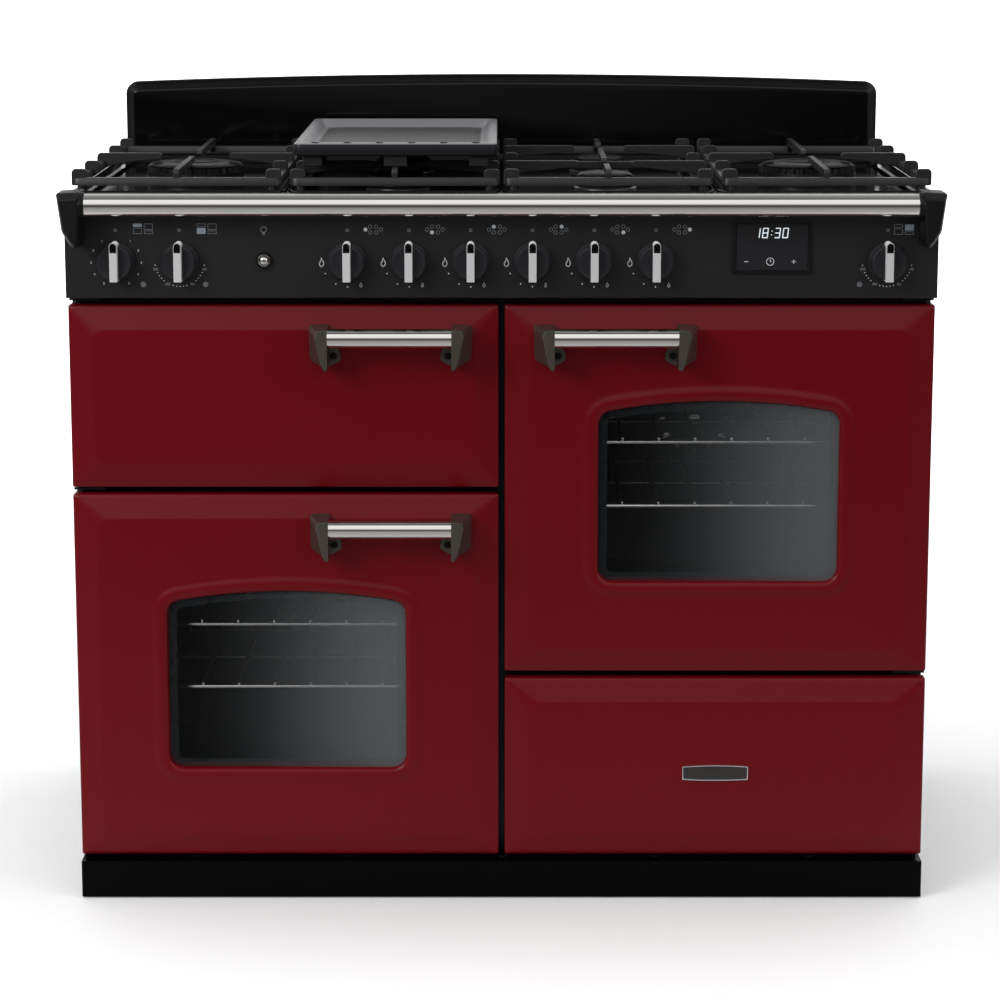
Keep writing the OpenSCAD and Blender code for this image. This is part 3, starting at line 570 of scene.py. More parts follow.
def knob(node, pointer=True):
    lo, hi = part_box(node)
    body = node + "_body"
    cx, cz = (lo[0] + hi[0]) / 2, (lo[2] + hi[2]) / 2
    back = PF - 0.0012
    Shape().lathe((cx, back, cz), (0, -1, 0), [(0, 0), (0.0240, 0), (0.0245, 0.0007),
        (0.0245, 0.0030), (0.0239, 0.0042), (0.0228, 0.0050), (0.0222, 0.0060), (0.0218, 0.0110),
        (0.0213, 0.0158), (0.0208, 0.0174), (0.0198, 0.0182), (0.0186, 0.0180), (0.012, 0.0172),
        (0, 0.0170)], 72).make(node + "_dial", KNOB, body, replaces=node, angle=40)
    w = 0.0096 / 2
    top, low = cz + 0.0268, cz - 0.0222
    y = back - 0.0040
    f = PF - 0.0290

    def arch(k, base):
        return [(cx - k, base), (cx + k, base)] + [(cx + k * cos(t), top - w + k * sin(t))
            for t in (pi * i / 12 for i in range(13))]

    # raised satin bar whose rounded upper end carries a dark polished inlay
    bar, cap = arch(w, low), arch(w - 0.0007, top - 0.0125)
    Shape().rings([at_y(bar, y), at_y(bar, f + 0.0007),
        at_y([(cx + (q[0] - cx) * 0.92, q[1]) for q in bar], f + 0.0003)]).make(node + "_grip",
        SATIN_STEEL, body, replaces=node, angle=25)
    Shape().rings([at_y(cap, f + 0.001), at_y(cap, f + 0.0001),
        at_y([(cx + (q[0] - cx) * 0.85, q[1]) for q in cap], f)]).make(node + "_index", GLOSS,
        body, replaces=node, angle=25)
    Shape().lathe((cx, PF - 0.002, cz), (0, 1, 0), [(0, 0), (0.004, 0), (0.004, 0.024),
        (0, 0.024)], 24).make(node + "_shaft", PIPE, body, replaces=node)
    return cx, cz


KNOBS = {n: knob(n) for n in ["grill_knob", "left_oven_knob", "right_oven_knob"]
    + [f"hob_knob_{i}" for i in range(1, 7)]}

# printed marks on the fascia --------------------------------------------------

INK_T = 0.00015


class Print:
    """Thin flat marks on the control panel, gathered by colour."""

    def __init__(self):
        self.by = {}

    def sheet(self, mat):
        return self.by.setdefault(mat.name, (mat, Shape()))[1]

    def disc(self, mat, x, z, r, n=14):
        self.poly(mat, circle(x, z, r, n))

    def poly(self, mat, pts):
        self.sheet(mat).prism(pts, PF, PF - INK_T)

    def band(self, mat, outer, inner):
        self.sheet(mat).rings(band(outer, inner, PF, INK_T), loop=True)

    def ring(self, mat, x, z, r, w, n=28):
        self.band(mat, circle(x, z, r, n), circle(x, z, r - w, n))

    def frame(self, mat, x0, z0, x1, z1, w, r=0.0008):
        self.band(mat, outline(x0, z0, x1, z1, r, side=2, corner=3), outline(x0 + w, z0 + w, x1
            - w, z1 - w, max(0.0001, r - w), side=2, corner=3))

    def stroke(self, mat, pts, w):
        for p, q in zip(pts, pts[1:]):
            dx, dz = q[0] - p[0], q[1] - p[1]
            n = hypot(dx, dz) or 1
            ox, oz = -dz / n * w / 2, dx / n * w / 2
            ex, ez = dx / n * w / 4, dz / n * w / 4
            self.poly(mat, [(p[0] + ox - ex, p[1] + oz - ez), (p[0] - ox - ex, p[1] - oz - ez),
                (q[0] - ox + ex, q[1] - oz + ez), (q[0] + ox + ex, q[1] + oz + ez)])

    def done(self):
        for name, (mat, s) in self.by.items():
            s.make("fascia_marks_" + name, mat, ROOT, slot="fascia_black")


DIGITS = {0: "abcdef", 1: "bc", 2: "abged", 3: "abgcd", 4: "fgbc", 5: "afgcd", 6: "afgedc",
    7: "abc", 8: "abcdefg", 9: "abcdfg"}


def digit_lines(n, x, z, w, h, lean=0.0):
    """Seven-segment strokes for a figure whose lower left corner is at x, z."""
    def pt(a, b):
        return (x + a * w + b * h * lean, z + b * h)
    seg = {"a": (pt(0, 1), pt(1, 1)), "b": (pt(1, 1), pt(1, .5)), "c": (pt(1, .5), pt(1, 0)),
        "d": (pt(1, 0), pt(0, 0)), "e": (pt(0, 0), pt(0, .5)), "f": (pt(0, .5), pt(0, 1)),
        "g": (pt(0, .5), pt(1, .5))}
    return [seg[c] for c in DIGITS[n]]


PRINT = Print()


def number(mat, text, cx, cz, h=0.0034, w=None, thick=0.00055):
    w = w or h * 0.5
    gap = h * 0.32
    total = len(text) * w + (len(text) - 1) * gap
    x = cx - total / 2
    for c in text:
        for seg in digit_lines(int(c), x, cz - h / 2, w, h):
            PRINT.stroke(mat, seg, thick)
        x += w + gap


def around(cx, cz, r, deg):
    """A point r from the knob, deg clockwise from the top."""
    a = radians(deg)
    return cx + r * sin(a), cz + r * cos(a)


def compartments(cx, cz, filled):
    """Pictogram of the four compartments seen from the front, with one filled."""
    w, h, g = 0.0110, 0.0128, 0.0013
    cells = {"grill": (-w - g, 0.0022, -g, h / 2), "left": (-w - g, -h / 2, -g, 0.0010),
        "right": (g, -0.0012, w + g, h / 2), "drawer": (g, -h / 2, w + g, -0.0024)}
    for name, (x0, z0, x1, z1) in cells.items():
        if name == filled:
            PRINT.poly(INK_FILL, outline(cx + x0, cz + z0, cx + x1, cz + z1, 0.0008, side=2,
                corner=3))
        else:
            PRINT.frame(INK_DIM, cx + x0, cz + z0, cx + x1, cz + z1, 0.0006)


def flame(cx, cz, h, w, mat=INK):
    """Outline of a flame."""
    shape = [(0, .5), (.10, .28), (.30, .08), (.36, -.14), (.26, -.38), (0, -.5), (-.26, -.38),
        (-.36, -.14), (-.24, .06), (-.16, -.04), (-.10, .16), (-.06, .34), (0, .5)]
    PRINT.stroke(mat, [(cx + a * h * 0.7, cz + b * h) for a, b in shape], w)


def hob_map(cx, cz, filled):
    spots = [(-0.0096, 0), (-0.0038, 0.0036), (-0.0038, -0.0036), (0.0038, 0.0036),
        (0.0038, -0.0036), (0.0096, 0)]
    order = [0, 2, 1, 3, 4, 5]
    for i, (a, b) in enumerate(spots):
        r = 0.0025
        if order[filled] == i:
            PRINT.disc(INK, cx + a, cz + b, r)
        else:
            PRINT.ring(INK_DIM, cx + a, cz + b, r, 0.0006, 16)


def fascia_marks():
    for name, (cx, cz) in KNOBS.items():
        PRINT.ring(INK_DIM, cx, cz + 0.0395, 0.0021, 0.0008, 16)
    gx, gz = KNOBS["grill_knob"]
    for i, deg in enumerate((34, 63, 92, 120, 150)):
        for s in (1, -1):
            number(INK, str(i + 1), *around(gx, gz, 0.0315, s * deg), h=0.0024)
    PRINT.disc(INK_FAINT, gx + 0.0335, gz - 0.0285, 0.0036, 20)
    compartments(gx + 0.0345, gz + 0.0415, "grill")
    lx, lz = KNOBS["left_oven_knob"]
    rx, rz = KNOBS["right_oven_knob"]
    for cx, cz in ((lx, lz), (rx, rz)):
        for deg in (98, 116, 124, 132, 140, 164, 172, 180, 188, 196, 220, 228, 236, 244, 262):
            PRINT.disc(INK, *around(cx, cz, 0.0310, deg), 0.0007, 8)
        for text, deg in (("100", 107), ("150", 152), ("200", 208), ("250", 253)):
            number(INK_DIM, text, *around(cx, cz, 0.0318, deg), h=0.0026)
    PRINT.disc(INK_FAINT, lx + 0.0320, lz - 0.0285, 0.0034, 20)
    PRINT.disc(INK_FAINT, rx - 0.0340, rz - 0.0285, 0.0034, 20)
    compartments(lx + 0.0345, lz + 0.0415, "left")
    compartments(rx + 0.0200, rz + 0.0405, "right")
    for i in range(6):
        cx, cz = KNOBS[f"hob_knob_{i + 1}"]
        hob_map(cx + 0.0325, cz + 0.0405, i)
        flame(cx - 0.0325, cz - 0.0005, 0.0112, 0.0010)
        for deg in (-118, -152, -180):
            PRINT.disc(INK, *around(cx, cz, 0.0315, deg), 0.0009, 8)
        flame(cx + 0.0165, cz - 0.0290, 0.0058, 0.0009)
    # lamp mark over the light switch
    bx, bz = -0.297, 0.8755
    PRINT.ring(INK_DIM, bx, bz, 0.0039, 0.0008, 20)
    PRINT.frame(INK_DIM, bx - 0.0014, bz - 0.0066, bx + 0.0014, bz - 0.0038, 0.0008, 0.0004)
    PRINT.done()


fascia_marks()


def clock():
    lo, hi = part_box("clock_module")
    x0, x1, z0, z1 = lo[0], hi[0], lo[2], hi[2]
    y = lo[1]

    def ring(d, yy, r=0.003):
        return at_y(outline(x0 + d, z0 + d, x1 - d, z1 - d, max(0.0006, r - d * 0.5), side=3,
            corner=5), yy)

    Shape().rings([ring(0, y + 0.004), ring(0, y + 0.001), ring(0.0005, y + 0.0003),
        ring(0.0012, y), ring(0.0036, y), ring(0.0042, y + 0.0005), ring(0.0045, y + 0.0018),
        ring(0.0045, y + 0.004)], loop=True).make("clock_bezel", BLACK, ROOT,
        replaces="clock_module", slot="gloss_black")
    Shape().rings([ring(0.0044, y + 0.030), ring(0.0044, y + 0.0017),
        ring(0.0048, y + 0.0013)]).make("clock_glass", KNOB, ROOT, replaces="clock_module")
    face = y + 0.0013
    sx0, sx1, sz0, sz1 = x0 + 0.0205, x0 + 0.0765, z1 - 0.0265, z1 - 0.0045
    Shape().prism(outline(sx0, sz0, sx1, sz1, 0.001, side=2, corner=3), face + 0.0003, face
        - 0.0003).make("clock_screen", FASCIA, ROOT, slot="gloss_black")
    digits = Shape()
    marks = Shape()

    def stroke(s, p, q, w, yy):
        dx, dz = q[0] - p[0], q[1] - p[1]
        n = hypot(dx, dz)
        ox, oz = -dz / n * w / 2, dx / n * w / 2
        s.prism([(p[0] + ox, p[1] + oz), (p[0] - ox, p[1] - oz), (q[0] - ox, q[1] - oz),
            (q[0] + ox, q[1] + oz)], yy, yy - 0.0002)

    h, w = 0.0118, 0.0060
    x = sx0 + 0.0062
    base = (sz0 + sz1) / 2 - h / 2
    for k, n in enumerate((1, 8, 3, 0)):
        for p, q in digit_lines(n, x, base, w, h, 0.12):
            stroke(digits, p, q, 0.0013, face - 0.0003)
        x += 0.0100 + (0.0052 if k == 1 else 0)
        if k == 1:
            for b in (0.3, 0.7):
                cx = x - 0.0042 + b * h * 0.12
                stroke(digits, (cx, base + b * h - 0.0006), (cx, base + b * h + 0.0006), 0.0013,
                    face - 0.0003)
    mz = z0 + 0.0155
    mid, right = x0 + 0.0470, x0 + 0.0765
    marks.rings(band(circle(mid, mz, 0.0050, 28), circle(mid, mz, 0.0042, 28), face, 0.0002),
        loop=True)
    for cx in (x0 + 0.0170, right):
        stroke(marks, (cx - 0.0026, mz), (cx + 0.0026, mz), 0.0009, face)
    stroke(marks, (right, mz - 0.0026), (right, mz + 0.0026), 0.0009, face)
    stroke(marks, (mid, mz), (mid, mz + 0.0030), 0.0008, face)
    stroke(marks, (mid, mz), (x0 + 0.0492, mz), 0.0008, face)
    digits.make("clock_digits", LIT, ROOT)
    marks.make("clock_marks", INK, ROOT)


clock()


def light_switch():
    lo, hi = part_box("light_button")
    cx, cz, y = (lo[0] + hi[0]) / 2, (lo[2] + hi[2]) / 2, PF
    Shape().lathe((cx, y, cz), (0, -1, 0), [(0.0064, -0.006), (0.008, -0.006), (0.008, 0),
        (0.0094, 0), (0.0094, 0.0008), (0.0086, 0.0020), (0.0076, 0.0032), (0.0070, 0.0034),
        (0.0064, 0.0028)], 48, loop=True).make("light_switch_bezel", GLOSS, ROOT)
    Shape().lathe((cx, y, cz), (0, -1, 0), [(0.0074, 0.0026), (0.0078, 0.0036), (0.0072, 0.0042),
        (0.0066, 0.0036)], 48, loop=True).make("light_switch_ring", CHROME, ROOT)
    Shape().lathe((cx, hi[1], cz), (0, -1, 0), [(0, 0), (0.0056, 0), (0.0058, 0.020),
        (0.0058, 0.0240), (0.0052, 0.0258), (0.0040, 0.0271), (0.0022, 0.0278), (0, 0.0280)],
        40).make("light_button_cap", CHROME, "light_button_body", replaces="light_button")
    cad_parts["light_switch"].data.materials[0] = BLACK


light_switch()

# ------------------------------------------------------------------ rail


def rail():
    lo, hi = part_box("hand_rail")
    cy, cz, r = (lo[1] + hi[1]) / 2, (lo[2] + hi[2]) / 2, (hi[2] - lo[2]) / 2
    length = hi[0] - lo[0]
    Shape().lathe((lo[0], cy, cz), (1, 0, 0), [(r - 0.0015, 0), (r, 0), (r, length),
        (r - 0.0015, length)], 96, loop=True).make("hand_rail_tube", CHROME, ROOT,
        replaces="hand_rail")
    blo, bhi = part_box("hand_rail_brackets")
    for tag, s in (("left", -1), ("right", 1)):
        def p(x, z):
            return (s * x, z)
        wall = [p(0.5190, 0.9265), p(0.5490, 0.9250), p(0.5430, 0.8770), p(0.5335, 0.8605),
            p(0.5290, 0.8565), p(0.5215, 0.8580), p(0.5200, 0.8790), p(0.5190, 0.8915)]
        front = [p(0.5205, 0.9200), p(0.5450, 0.9180), p(0.5395, 0.8800), p(0.5315, 0.8665),
            p(0.5285, 0.8640), p(0.5230, 0.8650), p(0.5215, 0.8820), p(0.5205, 0.8930)]
        Shape().rings([at_y(wall, PF), at_y(wall, blo[1] + 0.012),
            at_y(front, blo[1] + 0.0004)]).make("rail_bracket_" + tag, BLACK, ROOT,
            replaces="hand_rail_brackets", bevel=0.0025, segs=4, limit=20)
        Shape().lathe((s * 0.5200, cy, cz), (-s, 0, 0), [(0.0141, 0), (0.0158, 0),
            (0.0158, 0.0045), (0.0152, 0.0058), (0.0141, 0.0062)], 48,
            loop=True).make("rail_collar_" + tag, BLACK, ROOT)


rail()

# ------------------------------------------------------------------ hob top and upstand


def hob_top():
    lo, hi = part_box("hob_top")
    x0, y0, z0, x1, y1, z1 = *lo, *hi
    deck = z1 - 0.010

    def rr(a, b, c, d, r, z, n=6):
        return at_z(outline(a, b, c, d, r, side=8, corner=n), z)

    # rolled edge all round, then a shallow land
    s = Shape()
    s.rings([rr(x0 + e, y0 + e, x1 - e, y1 - e, r, z) for e, r, z in ((0, .004, z0),
        (0, .004, z1 - .004), (.0004, .004, z1 - .0022), (.0014, .004, z1 - .0008),
        (.003, .004, z1 - .0001), (.005, .004, z1 - .0001), (.006, .004, z1 - .0060),
        (.02, .004, z1 - .0062))], cap_start=False, cap_end=False)
    base = z1 - 0.0062
    wells = [(-.541, -.275), (-.269, -.0025), (.0025, .269), (.275, .541)]
    s2 = Shape()
    wy0, wy1 = y0 + 0.030, y1 - 0.016
    for a, b in wells:
        s2.rings([rr(a + e, wy0 + e, b - e, wy1 - e, r, z) for e, r,
            z in ((-.0025, .02, z1 - .0034), (-.0005, .02, z1 - .0003), (.0008, .02, z1),
            (.0022, .02, z1 - .0006), (.006, .018, z1 - .0050), (.009, .016, z1 - .0085),
            (.0125, .014, z1 - .0098), (.018, .012, deck))], cap_start=False)
    s.make("hob_rim", ENAMEL, ROOT, replaces="hob_top", angle=60)
    s2.make("hob_wells", ENAMEL, ROOT, replaces="hob_top", angle=60)
    Shape().box((x0 + 0.004, y0 + 0.004, z0),
        (x1 - 0.004, y1 - 0.004, z1 - 0.0105)).make("hob_underside", ENAMEL, ROOT,
        replaces="hob_top")
    # the land between and around the wells
    land = Shape()
    xs = [x0 + 0.005] + [v for w in wells for v in w] + [x1 - 0.005]
    zt = z1 - 0.0034
    for i in range(0, len(xs) - 1, 2):
        land.box((xs[i] - 0.001, y0 + 0.006, z1 - 0.011), (xs[i + 1] + 0.001, y1 - 0.006, zt))
    land.box((x0 + 0.005, y0 + 0.005, z1 - 0.011), (x1 - 0.005, wy0 + 0.001, zt - 0.00003))
    land.box((x0 + 0.005, wy1 - 0.001, z1 - 0.011), (x1 - 0.005, y1 - 0.005, zt - 0.00006))
    land.make("hob_land", ENAMEL, ROOT, replaces="hob_top")


hob_top()


def backguard():
    lo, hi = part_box("backguard")
    x0, x1, top, back = lo[0], hi[0], hi[2], hi[1]
    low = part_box("hob_top")[0][2]
    half = (x1 - x0) / 2
    big = (half * half + 0.011 ** 2) / 0.022

    def ring(d, y, r, z0):
        return at_y(outline(x0 + d, z0, x1 - d, top - d, max(0.004, r - d), big - d, side=16,
            corner=10), y)

    front = back - 0.0225
    rows = [(0.0, back), (0.0, back - 0.0105), (0.0005, back - 0.0117), (0.0016, back - 0.0124)]
    rows += [(0.0016 + 0.0104 * t, back - 0.0124 - 0.0094 * (t * 0.75 + 0.25 * t * t))
        for t in (0.2, 0.4, 0.6, 0.8, 1.0)]
    rows += [(0.0131, front + 0.0002), (0.0143, front)]
    Shape().rings([ring(d, y, 0.018, lo[2] if y > back - 0.012 else low + 0.0005) for d,
        y in rows]).make("backguard_sheet", ENAMEL, ROOT, replaces="backguard", angle=24)
    foot = [(front + 0.001, low + 0.0002), (lo[1], low + 0.0002), (lo[1], low + 0.0180),
        (lo[1] + 0.0015, low + 0.0192), (front - 0.0005, low + 0.0196),
        (front + 0.001, low + 0.0212)]
    Shape().prism(foot, x0 + 0.0025, x1 - 0.0025, "x").make("backguard_foot", ENAMEL, ROOT,
        replaces="backguard", bevel=0.0006)


backguard()

# ------------------------------------------------------------------ pan supports

GRATE_LO, GRATE_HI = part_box("pan_support_1")
STATION = 0.119
GY = (GRATE_LO[1] + GRATE_HI[1]) / 2
G_TOP = GRATE_HI[2]
G_FOOT = GRATE_LO[2]
G_LOW = G_FOOT + 0.015
G_SIDE = G_LOW + 0.010


def pan_support(node, pair):
    lo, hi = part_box(node)
    x = (lo[0] + hi[0]) / 2
    w = (hi[0] - lo[0]) / 2
    y0, y1 = lo[1], hi[1]
    body = node.replace("pan_", "")
    frame_bars = Shape()
    b = 0.011
    out = outline(x - w, y0, x + w, y1, 0.010, side=4, corner=6)
    inn = outline(x - w + b, y0 + b, x + w - b, y1 - b, 0.004, side=4, corner=6)
    mid = outline(x - w + .001, y0 + .001, x + w - .001, y1 - .001, 0.009, side=4, corner=6)
    mid2 = outline(x - w + b - .001, y0 + b - .001, x + w - b + .001, y1 - b + .001, 0.005, side=4,
        corner=6)
    frame_bars.rings([at_z(out, G_LOW), at_z(out, G_SIDE - .0012), at_z(mid, G_SIDE),
        at_z(mid2, G_SIDE), at_z(inn, G_SIDE - .0012), at_z(inn, G_LOW)], loop=True)
    for sx in (-1, 1):
        for sy in (-1, 1):
            c = (x + sx * (w - 0.013), GY + sy * ((y1 - y0) / 2 - 0.008), G_FOOT)
            frame_bars.lathe(c, (0, 0, 1), [(0, 0), (0.0050, 0), (0.006, 0.001), (0.006, 0.0165),
                (0, 0.0165)], 20)
    frame_bars.make(node + "_frame", IRON, body, replaces=node, angle=40)
    f = Shape()

    def plate_y(pts, y):
        f.prism(pts, y - 0.0038, y + 0.0038, "y")

    stations = (1, 3, 5) if pair else (1, 2, 4, 5)
    for i in stations:
        y = GY + (i - 3) * STATION
        y = min(max(y, y0 + 0.0045), y1 - 0.0045)
        for s in (-1, 1):
            def p(u, z):
                return (x + s * (w - u), z)
            plate_y([p(0.0002, G_LOW + .001), p(0.0002, G_TOP - 0.0050), p(0.0012, G_TOP - .0018),
                p(0.0036, G_TOP), p(0.0160, G_TOP), p(0.0188, G_TOP - 0.0014),
                p(0.0200, G_TOP - 0.0042), p(0.0200, G_SIDE), p(0.0178, G_SIDE - 0.004),
                p(0.0130, G_LOW + 0.001)], y)

    def cross(y, g):
        for s in (-1, 1):
            def p(u, z):
                return (x + s * u, z)
            curve = [p(g + 0.0015, G_TOP - 0.0088), p(g + 0.012, G_TOP - 0.0092),
                p(g + 0.026, G_TOP - 0.0104), p(g + 0.040, G_TOP - 0.0124),
                p(w - 0.030, G_TOP - 0.0150), p(w - 0.018, G_LOW + 0.0035),
                p(w - 0.011, G_LOW + 0.001), p(w - 0.0002, G_LOW + 0.001)]
            plate_y([p(w - 0.0002, G_TOP - 0.0045), p(w - 0.0018, G_TOP - 0.0012),
                p(w - 0.0045, G_TOP), p(g + 0.0040, G_TOP), p(g + 0.0010, G_TOP - 0.0016),
                p(g, G_TOP - 0.0045)] + curve, y)

    def long(a, c, ends=(True, True)):
        """Finger along Y from a to c; ends says which ends stand on the frame."""
        lo_z, tip = G_TOP - 0.0105, G_TOP - 0.0088
        pts = []
        if ends[0]:
            pts += [(a, G_LOW + .001), (a, G_TOP - .0045), (a + .0016, G_TOP - .0012),
                (a + .0045, G_TOP)]
        else:
            pts += [(a + .0015, tip), (a, G_TOP - .0055), (a + .001, G_TOP - .0016),
                (a + .004, G_TOP)]
        if ends[1]:
            pts += [(c - .0045, G_TOP), (c - .0016, G_TOP - .0012), (c, G_TOP - .0045),
                (c, G_LOW + .001), (c - .0105, G_LOW + .001), (c - .018, lo_z)]
        else:
            pts += [(c - .004, G_TOP), (c - .001, G_TOP - .0016), (c, G_TOP - .0055),
                (c - .0015, tip)]
        if ends[0]:
            pts += [(a + .018, lo_z), (a + .0105, G_LOW + .001)]
        f.prism(pts, x - 0.0038, x + 0.0038, "x")

    if pair:
        cross(GY - STATION, 0.034)
        cross(GY + STATION, 0.034)
        long(y0 + 0.0004, GY - STATION - 0.036, (True, False))
        long(GY - STATION + 0.036, GY + STATION - 0.036, (False, False))
        long(GY + STATION + 0.036, y1 - 0.0004, (False, True))
        f.box((x - w + 0.004, GY - 0.005, G_LOW), (x + w - 0.004, GY + 0.005, G_SIDE - 0.0005))
        f.box((x - 0.0036, GY - 0.0048, G_LOW + 0.001), (x + 0.0036, GY + 0.0048, G_TOP - 0.008))
    else:
        cross(GY, 0.045)
        long(y0 + 0.0004, GY - 0.045, (True, False))
        long(GY + 0.045, y1 - 0.0004, (False, True))
    f.make(node + "_fingers", IRON, body, replaces=node, bevel=0.0011, segs=2, limit=25)


for number_of, for_pair in enumerate((False, True, True, False), 1):
    pan_support(f"pan_support_{number_of}", for_pair)

# ------------------------------------------------------------------ griddle


def griddle():
    lo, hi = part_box("griddle")
    x0, y0, x1, y1 = lo[0], lo[1], hi[0], hi[1]
    top, low = hi[2], hi[2] - 0.016
    body = "griddle_plate"

    def ring(dx, dy0, dy1, z, r):
        return at_z(outline(x0 + dx, y0 + dy0, x1 - dx, y1 - dy1, r, side=8, corner=6), z)

    sides = [ring(.003, .003, .003, low, .008), ring(.0008, .0008, .0008, low + .0012, .010),
        ring(0, 0, 0, low + .004, .010), ring(0, 0, 0, top - .0024, .010),
        ring(.0004, .0004, .0004, top - .0012, .010)]
    Shape().rings(sides, cap_end=False).make("griddle_sides", GRIDDLE, body, replaces="griddle",
        angle=40)
    rim = [ring(.0004, .0004, .0004, top - .0012, .010),
        ring(.0010, .0010, .0010, top - .0004, .010), ring(.0026, .0026, .0026, top, .010),
        ring(.0090, .0230, .0090, top, .012), ring(.0102, .0243, .0102, top - .0004, .012),
        ring(.0165, .0300, .0175, top - .0080, .013), ring(.0190, .0325, .0200, top - .0101, .013),
        ring(.0225, .0360, .0235, top - .0110, .013)]
    Shape().rings(rim, cap_start=False, cap_end=False).make("griddle_rim", GRIDDLE_RIM, body,
        replaces="griddle", angle=40)
    inner = [ring(.0224, .0359, .0234, top - .0111, .013),
        ring(.030, .043, .031, top - .0111, .012), ring(.032, .045, .033, top - .0098, .012),
        ring(.034, .047, .035, top - .0096, .012)]
    Shape().rings(inner, cap_start=False).make("griddle_floor", GRIDDLE_DARK, body,
        replaces="griddle", angle=40)
    xc = (x0 + x1) / 2
    # painted shade: matte black discs stand for the dark inside of the six drain holes
    holes = Shape()
    for i in range(6):
        holes.lathe((xc - 0.1025 + 0.041 * i, y0 + 0.0125, top - 0.0002), (0, 0, 1), [(0, 0),
            (0.0050, 0), (0.0050, 0.0006), (0.0042, 0.0009), (0, 0.0009)], 20)
    holes.make("griddle_drain_hole_shade", MATTE, body)
    feet = Shape()
    for s in (-1, 1):
        for a, b in ((y0 + 0.010, GY - STATION + 0.005), (GY + STATION - 0.005, y1 - 0.010)):
            feet.box((xc + s * 0.106 - 0.012, a, G_TOP), (xc + s * 0.106 + 0.012, b, low + 0.002))
    for y in (GY - 0.204, GY + 0.204):
        feet.box((xc - 0.015, y - 0.005, G_TOP), (xc + 0.015, y + 0.005, low + 0.002))
    feet.make("griddle_feet", GRIDDLE_DARK, body, replaces="griddle", bevel=0.0012)


griddle()

# ------------------------------------------------------------------ burners

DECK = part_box("hob_top")[1][2] - 0.010
WOKS = [(-0.412, GY), (0.412, GY)]
SMALLS = [(sx * 0.1355, GY + sy * STATION) for sx in (-1, 1) for sy in (-1, 1)]


def port_ring(s, c, r_out, r_in, z0, z1, z_port, ports, depth):
    """Ring whose wall is notched by flame ports: two rows of points, alternately in and out."""
    per = 4
    n = ports * per

    def row(r, z, notch):
        pts = []
        for i in range(n):
            a = 2 * pi * i / n
            q = r - (depth if notch and i % per in (1, 2) else 0)
            pts.append((c[0] + q * cos(a), c[1] + q * sin(a), z))
        return pts

    s.rings([row(r_in, z0, False), row(r_out - .001, z0, False), row(r_out, z0 + .001, False),
        row(r_out, z_port, False), row(r_out, z_port + .0003, True), row(r_out, z1, True),
        row(r_in, z1, False)], loop=True)


def burners():
    head, cap, base, pins = Shape(), Shape(), Shape(), Shape()
    for c, r, h in [(p, 0.065, 0.019) for p in WOKS] + [(p, 0.038, 0.017) for p in SMALLS]:
        big = r > 0.05
        ports = 32 if big else 20
        stem = r * (0.7 if big else 0.62)
        base.lathe((c[0], c[1], DECK), (0, 0, 1), [(0, -0.012),
            (r * 0.7 if r > 0.05 else r * 0.62, -0.012), (stem, 0), (r + .004, 0.0002),
            (r + .0035, .0016), (r - .001, 0.0038), (r - .004, .0046), (0, .0046)], 64)
        port_ring(head, c, r, r - 0.012, DECK + 0.0042, DECK + h, DECK + h - 0.0068, ports, 0.0045)
        cap.lathe((c[0], c[1], DECK + h), (0, 0, 1), [(0, -0.003), (r - .014, -0.003),
            (r - .013, 0), (r - .0035, 0.0002), (r - .003, .0016), (r - .005, .0032),
            (r - .012, .0048), (r - .022, .0057), (0, .0060)], 64)
        if big:
            # inner ring set into the big cap
            cap.lathe((c[0], c[1], DECK + h + 0.0040), (0, 0, 1), [(r * .46, 0), (r * .46, .0026),
                (r * .43, .0032), (r * .40, .0026), (r * .40, 0)], 48, loop=True)
        a = radians(60)
        px, py = c[0] + (r + .008) * cos(a), c[1] + (r + .008) * sin(a)
        pins.lathe((px, py, DECK), (0, 0, 1), [(0, 0), (.0032, 0), (.0032, .010), (.0024, .0108),
            (.0024, .0145), (.0008, .0150), (.0008, h - .001), (0, h - .001)], 20)
    head.make("burner_heads_ported", BRASS, ROOT, replaces="burner_heads")
    base.make("burner_cups", CUP, ROOT, replaces="burner_heads")
    pins.make("burner_igniters", CERAMIC, ROOT, replaces="burner_heads")
    cap.make("burner_caps_enamel", CAP, ROOT, replaces="burner_caps")


burners()

# ------------------------------------------------------------------ cabinet dress

# base_frame takes SHADE as painted shade for the gap under the doors
CAD_MATERIALS = {"base_frame": SHADE, "levelling_feet": GALV, "plinth": PLINTH,
    "left_side_panel": PANEL, "right_side_panel": PANEL, "rear_cover": GALV, "centre_panel": GALV,
    "front_frame": SHADE, "left_oven_liner": INNER, "right_oven_liner": INNER,
    "grill_liner": INNER, "oven_shelves": RACK, "fan_covers": INNER, "fan_motors": GALV,
    "grill_element": ELEMENT, "grill_pan": INNER, "drawer_runners": GALV, "hinge_brackets": SHADE,
    "gas_manifold": PIPE, "gas_taps": TAP, "grill_door_liner": LINER, "left_door_liner": LINER,
    # the oven glass gets a painted reflection that greys it towards the right
    "right_door_liner": LINER, "left_door_glass": glass_with_painted_reflection("oven_glass_left",
    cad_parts["left_door_glass"].data), "right_door_glass": glass_with_painted_reflection("oven_glass_right",
    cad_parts["right_door_glass"].data), "drawer_box": GALV, "left_oven_fan": WIRE,
    "right_oven_fan": WIRE,}
for node, mat in CAD_MATERIALS.items():
    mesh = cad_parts[node].data
    mesh.materials.clear()
    mesh.materials.append(mat)


